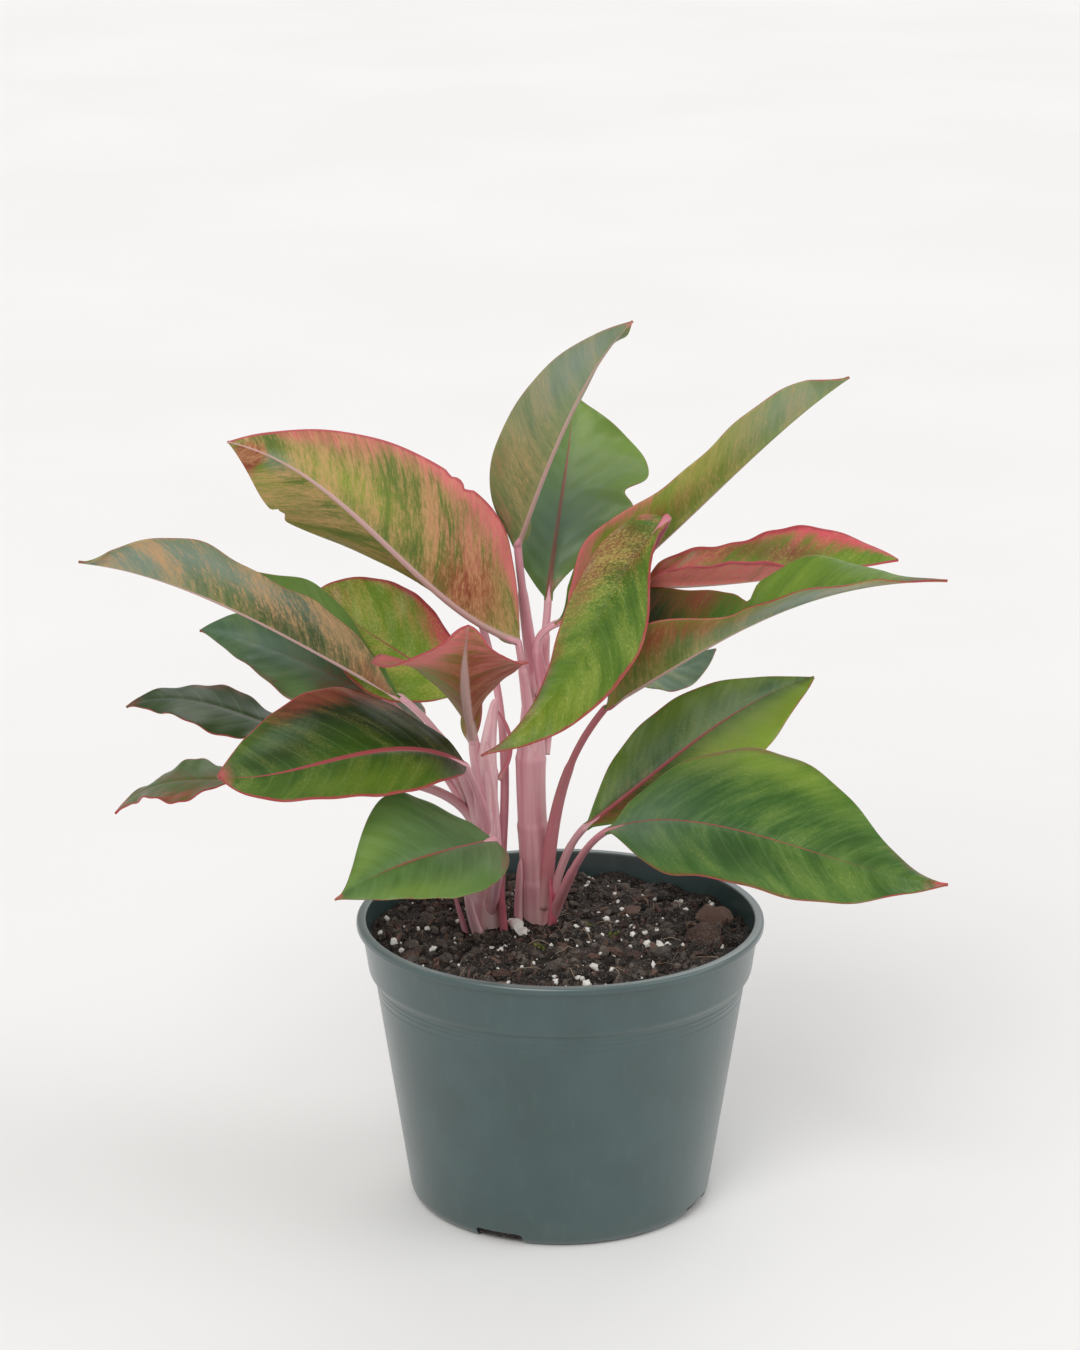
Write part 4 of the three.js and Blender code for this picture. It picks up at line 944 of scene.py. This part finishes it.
def fibres_piece(finish, random):
    """Root hairs and bark fibres: thin three-sided strands on low arcs that start and end in the mix."""
    x, y = scatter(random, FIBRE_COUNT, reach=66.0, clear=12.0)
    points = []
    faces = []
    index, quads = ring_quads(FIBRE_ROWS, FIBRE_SIDES)
    for i, (x0, y0) in enumerate(zip(x, y)):
        t = np.linspace(0, 1, FIBRE_ROWS)
        turn, bow = random.uniform(0, 2 * np.pi), random.uniform(-0.5, 0.5)
        length = random.uniform(5, 17)
        along = turn + bow * (t - 0.5)
        px = x0 + length * (t - 0.5) * np.cos(along)
        py = y0 + length * (t - 0.5) * np.sin(along)
        pz = soil_height(px, py) - 0.2 + random.uniform(0.8, 2.2) * np.sin(np.pi * t)
        path = np.stack([px, py, pz], -1)
        thick = random.uniform(0.14, 0.3)
        angle = np.linspace(0, 2 * np.pi, FIBRE_SIDES, endpoint=False)
        ahead = unit(np.gradient(path, axis=0))
        side = unit(np.cross(ahead, [0, 0, 1.0]))
        top = np.cross(side, ahead)
        spokes = side[:, None] * np.cos(angle)[:, None] + top[:, None] * np.sin(angle)[:, None]
        ring = path[:, None] + thick * spokes
        first = index.size * i
        points.append(ring.reshape(-1, 3))
        faces += (quads[:, [0, 3, 2, 1]] + first).tolist()
        faces += [(index[0] + first).tolist(), (index[-1, ::-1] + first).tolist()]
    marks = {"grain_tone": np.repeat(random.uniform(0, 1, len(x)), index.size)}
    make_piece("root_fibres", np.concatenate(points), faces, [finish], None, marks)


# Finishes

def add(tree, kind, inputs=None, out=0, stops=None, **settings):
    """Adds a shader node with its settings, values or links and colour stops, and gives one output."""
    made = tree.nodes.new(kind)
    for setting, value in settings.items():
        setattr(made, setting, value)
    if stops:
        ramp = made.color_ramp
        ramp.elements[0].position, ramp.elements[0].color = stops[0][0], linear(stops[0][1])
        ramp.elements[1].position, ramp.elements[1].color = stops[-1][0], linear(stops[-1][1])
        for place, code in stops[1:-1]:
            ramp.elements.new(place).color = linear(code)
    for key, value in (inputs or {}).items():
        if isinstance(value, bpy.types.NodeSocket):
            tree.links.new(value, made.inputs[key])
        else:
            made.inputs[key].default_value = value
    return made.outputs[out] if made.outputs else made


def new_finish(name):
    """An empty node material."""
    material = bpy.data.materials.new(name)
    material.use_nodes = True
    material.node_tree.nodes.clear()
    return material, material.node_tree


def mesh_mark(tree, name, out="Vector"):
    """One of the marks that a mesh carries."""
    return add(tree, "ShaderNodeAttribute", attribute_name=name, out=out)


def split(tree, vector):
    """The three parts of a vector."""
    return add(tree, "ShaderNodeSeparateXYZ", {0: vector}).node.outputs


def stretched(tree, place, by):
    """A place multiplied along each axis, so that a pattern is drawn out where the number is small."""
    return add(tree, "ShaderNodeVectorMath", {0: place, 1: by}, operation="MULTIPLY")


def noise(tree, place, scale, detail, roughness=0.5):
    """Soft noise, with 1 / scale as the width of its largest clouds."""
    return add(tree, "ShaderNodeTexNoise", {
        "Vector": place, "Scale": scale, "Detail": detail, "Roughness": roughness})


def scaled(tree, value, by, plus=0.0):
    """value * by + plus."""
    return add(tree, "ShaderNodeMath", {0: value, 1: by, 2: plus}, operation="MULTIPLY_ADD")


def mapped(tree, value, low, high, first, last, smooth=False):
    """Goes from first to last as the value goes from low to high, and is held beyond them."""
    return add(tree, "ShaderNodeMapRange", {0: value, 1: low, 2: high, 3: first, 4: last},
               interpolation_type="SMOOTHSTEP" if smooth else "LINEAR")


def ramp(tree, value, stops):
    """Colour stops run through by a value."""
    return add(tree, "ShaderNodeValToRGB", {0: value}, stops=stops)


def layered(tree, colour, layers):
    """Lays tints over a colour one after the other, each by its own amount."""
    for amount, tint in layers:
        colour = add(tree, "ShaderNodeMix", {0: amount, 6: colour, 7: linear(tint)}, out=2, data_type="RGBA")
    return colour


def finished(material, colour, rough, relief, strength, depth, values):
    """Ends a material: a relief of that strength and depth in mm, and a shader with further values."""
    tree = material.node_tree
    bump = add(tree, "ShaderNodeBump", {
        "Strength": strength, "Distance": depth * MM, "Height": relief}, out="Normal")
    shader = add(tree, "ShaderNodeBsdfPrincipled", {
        "Base Color": colour, "Roughness": rough, "Normal": bump, **values})
    add(tree, "ShaderNodeOutputMaterial", {"Surface": shader})
    return material


# The living leaf: a waxy skin over green tissue. The upper side is darker and glossier, with an
# even shine. The underside is paler, duller and washed with pink.
# rough: the sheet's roughness. grain: the relief of the streaks, in mm. flecks_per_mm: how many
# flecks there are. fleck_round, patch_round: how round flecks and patches are, where 1 is round.
# streaky: the streaks' share in the green. tan, vein_show: how strongly tan streaks and side
# veins show. gleam: the strength of the shine.
# The grey colours are a grey-green that some leaves also carry as a painted sheen.
LEAF_UPPER = dict(
    dark="#2b4f17", body="#375f1b", light="#466f22", lime="#7f9a2e", deep="#182a0d", grey_and_sheen="#66806a",
    pink="#c4525a", rust="#74382a", fleck="#b3ad5c", vein="#74925c", rib="#9c484c", edge="#a03a42",
    rough=0.34, grain=0.05, flecks_per_mm=1.5, fleck_round=0.8, patch_round=0.6, streaky=0.2, tan=0.4,
    vein_show=0.13, gleam=0.3)
# The underside's pink is set lighter than plain pink, partly as painted light for blade_06's shaded flap.
LEAF_UNDER = dict(
    dark="#566a2c", body="#767b38", light="#8c8f4a", lime="#8aa038", deep="#3a4a1c", grey_and_sheen="#84958a",
    pink="#d57775", rust="#8a3c28", fleck="#c69b6c", vein="#939a5c", rib="#c2a09a", edge="#b4505a",
    rough=0.48, grain=0.1, flecks_per_mm=1.0, fleck_round=0.45, patch_round=0.3, streaky=0.45, tan=0.65,
    vein_show=0.2, gleam=0.3)
# How much light passes through the thin sheet, and how far it travels inside, in mm.
LEAF_GLOW = 0.3
LEAF_GLOW_REACH = 1.6


def leaf_finish(name, look):
    """Leaf skin: streaks along the side veins, flecks, tints by place, veins, a pink rib and a pink edge."""
    material, tree = new_finish(name)
    place = mesh_mark(tree, "leaf_place")
    from_rib, from_edge, outer = split(tree, mesh_mark(tree, "leaf_lines"))
    pink, rust, flecks = split(tree, mesh_mark(tree, "leaf_warm"))
    lime, deep, grey_and_sheen = split(tree, mesh_mark(tree, "leaf_green"))

    # Streaks 2.5 mm wide and four times as long, patches 11 mm wide, and flecks of about 1 mm.
    streak = noise(tree, stretched(tree, place, (1.0, 0.25, 1.0)), 0.4, 4.0, 0.55)
    patch = noise(tree, stretched(tree, place, (1.0, look["patch_round"], 1.0)), 0.09, 3.0)
    drawn_out = stretched(tree, place, (1.0, look["fleck_round"], 1.0))
    speckle = noise(tree, drawn_out, look["flecks_per_mm"], 4.0, 0.7)

    # The green varies with the streaks and the patches, and a little with the flecks.
    mottle = scaled(tree, patch, 1 - look["streaky"], scaled(tree, speckle, 0.4, -0.2))
    body = ramp(tree, scaled(tree, streak, look["streaky"], mottle), [
        (0.34, look["dark"]), (0.5, look["body"]), (0.66, look["light"])])

    # The green grows yellower towards the edge. The warm tints feather out along the streaks and
    # gather in patches, and the green ones blend softly.
    outward = mapped(tree, outer, 0.45, 1.0, 0.0, 0.3, smooth=True)
    feather = scaled(tree, streak, 1.4, scaled(tree, patch, 1.2, -1.3))
    soft = scaled(tree, feather, 0.22)
    amounts = {}
    for tint, source, border in (
            ("pink", pink, feather), ("rust", rust, feather),
            ("lime", lime, soft), ("deep", deep, soft), ("grey_and_sheen", grey_and_sheen, soft)):
        present = add(tree, "ShaderNodeMath", {0: source, 1: 3.0}, operation="MULTIPLY", use_clamp=True)
        amounts[tint] = mapped(tree, scaled(tree, present, border, source), 0.1, 0.95, 0.0, 1.0)

    # Flecks crowd in the patches, and there are more of them where their tint is stronger.
    crowd = scaled(tree, flecks, 0.18, mapped(tree, patch, 0.38, 0.62, -0.05, 0.05))
    fleck = mapped(tree, scaled(tree, speckle, 1.0, crowd), 0.67, 0.85, 0.0, 0.6)
    # Grainy tan streaks come with the flecks, where the streaks and the patches are both light.
    grainy = scaled(tree, speckle, 0.65, scaled(tree, streak, 0.45, patch))
    tan = scaled(tree, mapped(tree, grainy, 0.97, 1.3, 0.0, look["tan"]), flecks)

    # Side veins, about 1 mm wide, fade before the edge. The rib and the edge have soft, slightly
    # uneven borders, and the rib is fainter where the leaf is grey.
    turns_along = scaled(tree, split(tree, place)[0], 1 / VEIN_SPACING)
    off_vein = add(tree, "ShaderNodeMath", {0: turns_along, 1: 0.5}, operation="PINGPONG")
    vein = mapped(tree, off_vein, 0.02, 0.09, look["vein_show"], 0.0, smooth=True)
    vein = scaled(tree, vein, mapped(tree, outer, 0.55, 0.92, 1.0, 0.0))
    rib = mapped(tree, scaled(tree, streak, 0.5, from_rib), 0.95, 1.4, 1.0, 0.0, smooth=True)
    rib = scaled(tree, rib, scaled(tree, amounts["grey_and_sheen"], -0.5, 1.0))
    edge = mapped(tree, scaled(tree, from_edge, 1.0, feather), 0.35, 1.35, 0.9, 0.0, smooth=True)

    # The grey layer is partly the leaf's own grey-green and partly a painted sheen, where a leaf's look lays
    # it so.
    colour = layered(tree, body, [
        (outward, look["light"]), (amounts["lime"], look["lime"]), (amounts["deep"], look["deep"]),
        (amounts["grey_and_sheen"], look["grey_and_sheen"]), (vein, look["vein"]), (amounts["rust"], look["rust"]),
        (tan, look["fleck"]), (amounts["pink"], look["pink"]), (fleck, look["fleck"]), (edge, look["edge"]),
        (rib, look["rib"])])
    rough = mapped(tree, speckle, 0.3, 0.7, look["rough"] - 0.06, look["rough"] + 0.1)
    return finished(material, colour, rough, scaled(tree, vein, -0.5, streak), 0.6, look["grain"], {
        "IOR": 1.45, "Coat Weight": 0.05, "Coat Roughness": 0.3, "Specular IOR Level": look["gleam"],
        "Subsurface Weight": LEAF_GLOW, "Subsurface Radius": (1.0, 1.0, 0.6),
        "Subsurface Scale": LEAF_GLOW_REACH * MM})


def stalk_finish():
    """Fleshy stalk skin: smooth, mauve pink, with pale and dark streaks that run its length."""
    material, tree = new_finish("fleshy_pink_stalk_skin")
    place = mesh_mark(tree, "stalk_place")
    red, green, pale = split(tree, mesh_mark(tree, "stalk_tint"))
    # Streaks 3 mm wide and forty times as long, thin lines between them, and blotches of 8 mm.
    drawn_out = stretched(tree, place, (1.0, 1.0, 0.025))
    streak = noise(tree, drawn_out, 0.35, 3.0)
    fine = noise(tree, drawn_out, 1.6, 2.0)
    blotch = noise(tree, stretched(tree, place, (0.5, 0.5, 0.3)), 0.25, 4.0)
    body = ramp(tree, streak, [(0.3, "#c27484"), (0.45, "#cf8797"), (0.56, "#da98a6"), (0.7, "#e7b3bb")])
    brown = mapped(tree, blotch, 0.55, 0.72, 0.0, 0.3)
    foot = mapped(tree, mesh_mark(tree, "stalk_share", "Fac"), 0.0, 0.15, 0.4, 0.0)
    thin = mapped(tree, fine, 0.58, 0.75, 0.0, 0.14)
    # The pale layer is the stalks' own pale streaks, and where it is strongest, on the left cane, it is
    # partly painted light.
    colour = layered(tree, body, [
        (red, "#b04656"), (scaled(tree, green, blotch), "#95987c"), (brown, "#a9786a"),
        (scaled(tree, pale, streak), "#f6dedd"), (thin, "#b56672"), (foot, "#e6cdc2")])
    rough = mapped(tree, blotch, 0.3, 0.7, 0.34, 0.5)
    return finished(material, colour, rough, scaled(tree, fine, 0.3, streak), 0.4, 0.2, {
        "IOR": 1.42, "Coat Weight": 0.15, "Coat Roughness": 0.3})


def pot_finish():
    """Blown polypropylene: a satin blue-green skin, faint flow streaks, fine pitting and a little dust."""
    material, tree = new_finish("moulded_polypropylene")
    place = add(tree, "ShaderNodeTexCoord", out="Object")
    # Clouds of 25 mm, upright flow streaks of 3 mm, and pits of 0.5 mm.
    cloud = noise(tree, place, 40.0, 3.0)
    flow = noise(tree, stretched(tree, place, (1.0, 1.0, 0.25)), 330.0, 2.0)
    pit = noise(tree, place, 2000.0, 2.0)
    body = ramp(tree, cloud, [(0.3, "#284140"), (0.5, "#2c4645"), (0.7, "#324c4b")])
    # Splashes of dust reach 14 mm up the pot, and the lip's top edge is painted paler, a painted highlight.
    height = split(tree, place)[2]
    dust = scaled(tree, mapped(tree, height, 0.0, 14 * MM, 0.55, 0.0), flow)
    streaks = mapped(tree, flow, 0.58, 0.75, 0.0, 0.15)
    painted_lip_highlight = mapped(tree, height, 117.8 * MM, POT_HEIGHT * MM, 0.0, 0.35)
    colour = layered(tree, body, [(dust, "#4d5550"), (streaks, "#4a605f"), (painted_lip_highlight, "#7d8b89")])
    rough = mapped(tree, cloud, 0.3, 0.7, 0.3, 0.38)
    return finished(material, colour, rough, scaled(tree, flow, 0.6, pit), 0.35, 0.12, {
        "IOR": 1.52, "Specular IOR Level": 0.7, "Coat Weight": 0.4, "Coat Roughness": 0.25})


# The parts of the mix. Damp peat is nearly black and crumbly. Expanded perlite is a puffed white
# glass, chalky to the eye. Bark is a reddish brown with a fibrous grain. The root fibres are dry
# and straw brown, and the moss is a soft dull green.
# For each: colour stops, the tint of its lighter grains, the colour and strength of its specks,
# how rough it is, the grit's size in mm and the grit's depth in mm.
MIX_PARTS = {
    "damp_peat": dict(stops=[(0.3, "#090808"), (0.5, "#221d1b"), (0.68, "#584c44")], light="#7b7068",
                      speck="#9d9083", specks=0.65, rough=0.86, grit=0.9, depth=0.5),
    "expanded_perlite": dict(stops=[(0.3, "#a9a49a"), (0.45, "#dedbd3"), (0.6, "#f1efe9")], light="#fbfaf6",
                             speck="#8f887c", specks=0.3, rough=0.8, grit=0.45, depth=0.3),
    "composted_bark": dict(stops=[(0.3, "#241814"), (0.5, "#47342d"), (0.68, "#6d564b")], light="#83675b",
                           speck="#1d1310", specks=0.65, rough=0.78, grit=0.9, depth=0.6),
    "dry_root_fibre": dict(stops=[(0.3, "#54443a"), (0.5, "#76624f"), (0.7, "#9d8a76")], light="#b5a38d",
                           speck="#3a2a20", specks=0.3, rough=0.7, grit=0.6, depth=0.1),
    "cushion_moss": dict(stops=[(0.3, "#2f3616"), (0.5, "#515a24"), (0.7, "#77803c")], light="#8d9550",
                         speck="#a7ab66", specks=0.4, rough=0.85, grit=0.5, depth=0.4),
}


def mix_finish(name, look):
    """One part of the potting mix: a grainy colour that is lighter on some grains than on others."""
    material, tree = new_finish(name)
    place = add(tree, "ShaderNodeTexCoord", out="Object")
    # Grit of the part's own size, clouds of 11 mm, and specks of 0.7 mm.
    grit = noise(tree, place, 1 / (look["grit"] * MM), 4.0, 0.65)
    cloud = noise(tree, place, 90.0, 2.0)
    fine = noise(tree, place, 1 / (0.7 * MM), 2.0)
    body = ramp(tree, scaled(tree, grit, 0.6, scaled(tree, cloud, 0.4)), look["stops"])
    lighter = mapped(tree, mesh_mark(tree, "grain_tone", "Fac"), 0.4, 1.0, 0.0, 0.6)
    speck = mapped(tree, fine, 0.6, 0.7, 0.0, look["specks"])
    colour = layered(tree, body, [(lighter, look["light"]), (speck, look["speck"])])
    return finished(material, colour, look["rough"], grit, 0.8, look["depth"], {"Specular IOR Level": 0.35})


def floor_finish():
    """Matt studio paper: off-white, with broad clouds that are barely visible."""
    material, tree = new_finish("matt_studio_paper")
    cloud = noise(tree, add(tree, "ShaderNodeTexCoord", out="Object"), 3.0, 3.0)
    body = ramp(tree, cloud, [(0.3, "#eeecea"), (0.7, "#f1f0ee")])
    shader = add(tree, "ShaderNodeBsdfPrincipled", {
        "Base Color": body, "Roughness": 0.9, "Specular IOR Level": 0.1})
    add(tree, "ShaderNodeOutputMaterial", {"Surface": shader})
    return material


# Making the plant

def make_plant():
    """The pot, the mix with its grains, the two shoots and every leaf."""
    parts = {name: mix_finish(name, look) for name, look in MIX_PARTS.items()}
    peat, bark = parts["damp_peat"], parts["composted_bark"]
    pot_piece(pot_finish())
    soil_body_piece(peat)

    random = np.random.default_rng(CRUMB_SEED)
    grains_piece("peat_crumbs", peat, random, scatter(random, CRUMB_COUNT, 76),
                 random.uniform(0.5, 1.5, CRUMB_COUNT), (1.2, 1, 0.9), 0.3, 1, 0.1)
    grains_piece("peat_clods", peat, random, scatter(random, CLOD_COUNT, 73),
                 1.3 + 2.2 * random.uniform(0, 1, CLOD_COUNT) ** 2, (1.3, 1, 0.7), 0.24, 2, -0.1)
    grains_piece("bark_splinters", bark, random, scatter(random, SPLINTER_COUNT, 74),
                 random.uniform(0.7, 2.1, SPLINTER_COUNT), (1.9, 0.55, 0.4), 0.25, 1, 0.15)
    x, y = scatter(random, BARK_COUNT, 70, 14)
    seen = np.array(BARK_SEEN, float)
    grains_piece("bark_chips", bark, random, (np.append(x, seen[:, 0]), np.append(y, seen[:, 1])),
                 np.append(random.uniform(1.8, 3.6, BARK_COUNT), seen[:, 2]), (1, 0.75, 0.34), 0.27, 2, 0.12,
                 flat_lie=True, crease=20)
    x, y = scatter(random, PERLITE_COUNT, 75)
    seen = np.array(PERLITE_SEEN, float)
    grains_piece("perlite", parts["expanded_perlite"], random,
                 (np.append(x, seen[:, 0]), np.append(y, seen[:, 1])),
                 np.append(random.uniform(0.3, 1.0, PERLITE_COUNT), seen[:, 2]),
                 (1.15, 1, 0.85), 0.28, 2, 0.3, crease=40)
    seen = np.repeat(np.array(MOSS_SEEN, float), MOSS_TUFTS, axis=0)
    spread = random.normal(0, 0.45, (2, len(seen))) * seen[:, 2]
    grains_piece("moss", parts["cushion_moss"], random, (seen[:, 0] + spread[0], seen[:, 1] + spread[1]),
                 random.uniform(0.4, 0.9, len(seen)), (1, 1, 0.8), 0.35, 1, 0.3)
    fibres_piece(parts["dry_root_fibre"], random)

    stalk = stalk_finish()
    for name in CANES:
        shoot_piece(name, stalk)
    leaf_sides = [leaf_finish("waxy_upper_leaf_skin", LEAF_UPPER),
                  leaf_finish("dull_leaf_underside", LEAF_UNDER)]
    for name, leaf in LEAVES.items():
        blade_piece(name, leaf, LOOKS[name], leaf_sides)


def make_studio():
    """A pale floor, three broad lamps, an even pale sky and the photograph's camera."""
    mesh = bpy.data.meshes.new("studio_floor")
    angle = np.linspace(0, 2 * np.pi, FLOOR_SIDES, endpoint=False)
    radii = np.array(FLOOR_RADII)[:, None]
    points = np.stack([radii * np.cos(angle), radii * np.sin(angle), 0 * radii * angle], -1)
    index, quads = ring_quads(len(FLOOR_RADII), FLOOR_SIDES)
    faces = quads[:, [0, 3, 2, 1]].tolist() + [index[0].tolist()]
    mesh.from_pydata(points.reshape(-1, 3).tolist(), [], faces)
    mesh.materials.append(floor_finish())
    floor = bpy.data.objects.new("studio_floor", mesh)
    bpy.context.scene.collection.objects.link(floor)

    world = bpy.data.worlds.new("studio_sky")
    world.use_nodes = True
    world.node_tree.nodes["Background"].inputs["Color"].default_value = linear("#f6f6f7")
    world.node_tree.nodes["Background"].inputs["Strength"].default_value = SKY_STRENGTH
    bpy.context.scene.world = world
    for name, (place, spread, strength, tint) in LAMPS.items():
        light = bpy.data.lights.new(name, "SUN")
        light.angle = math.radians(spread)
        light.energy = strength
        light.color = linear(tint)[:3]
        lamp = bpy.data.objects.new(name, light)
        lamp.location = place
        lamp.rotation_euler = Vector(place).to_track_quat("Z", "Y").to_euler()
        bpy.context.scene.collection.objects.link(lamp)

    lens = bpy.data.cameras.new("camera")
    lens.sensor_width = CAMERA_SENSOR
    lens.lens = CAMERA_LENS
    lens.clip_end = 50
    camera = bpy.data.objects.new("camera", lens)
    camera.location = Vector(CAMERA_PLACE) * MM
    camera.rotation_euler = (math.radians(90 - CAMERA_TILT), 0, 0)
    bpy.context.scene.collection.objects.link(camera)
    bpy.context.scene.camera = camera
    bpy.context.scene.view_settings.view_transform = "Standard"


make_plant()
make_studio()
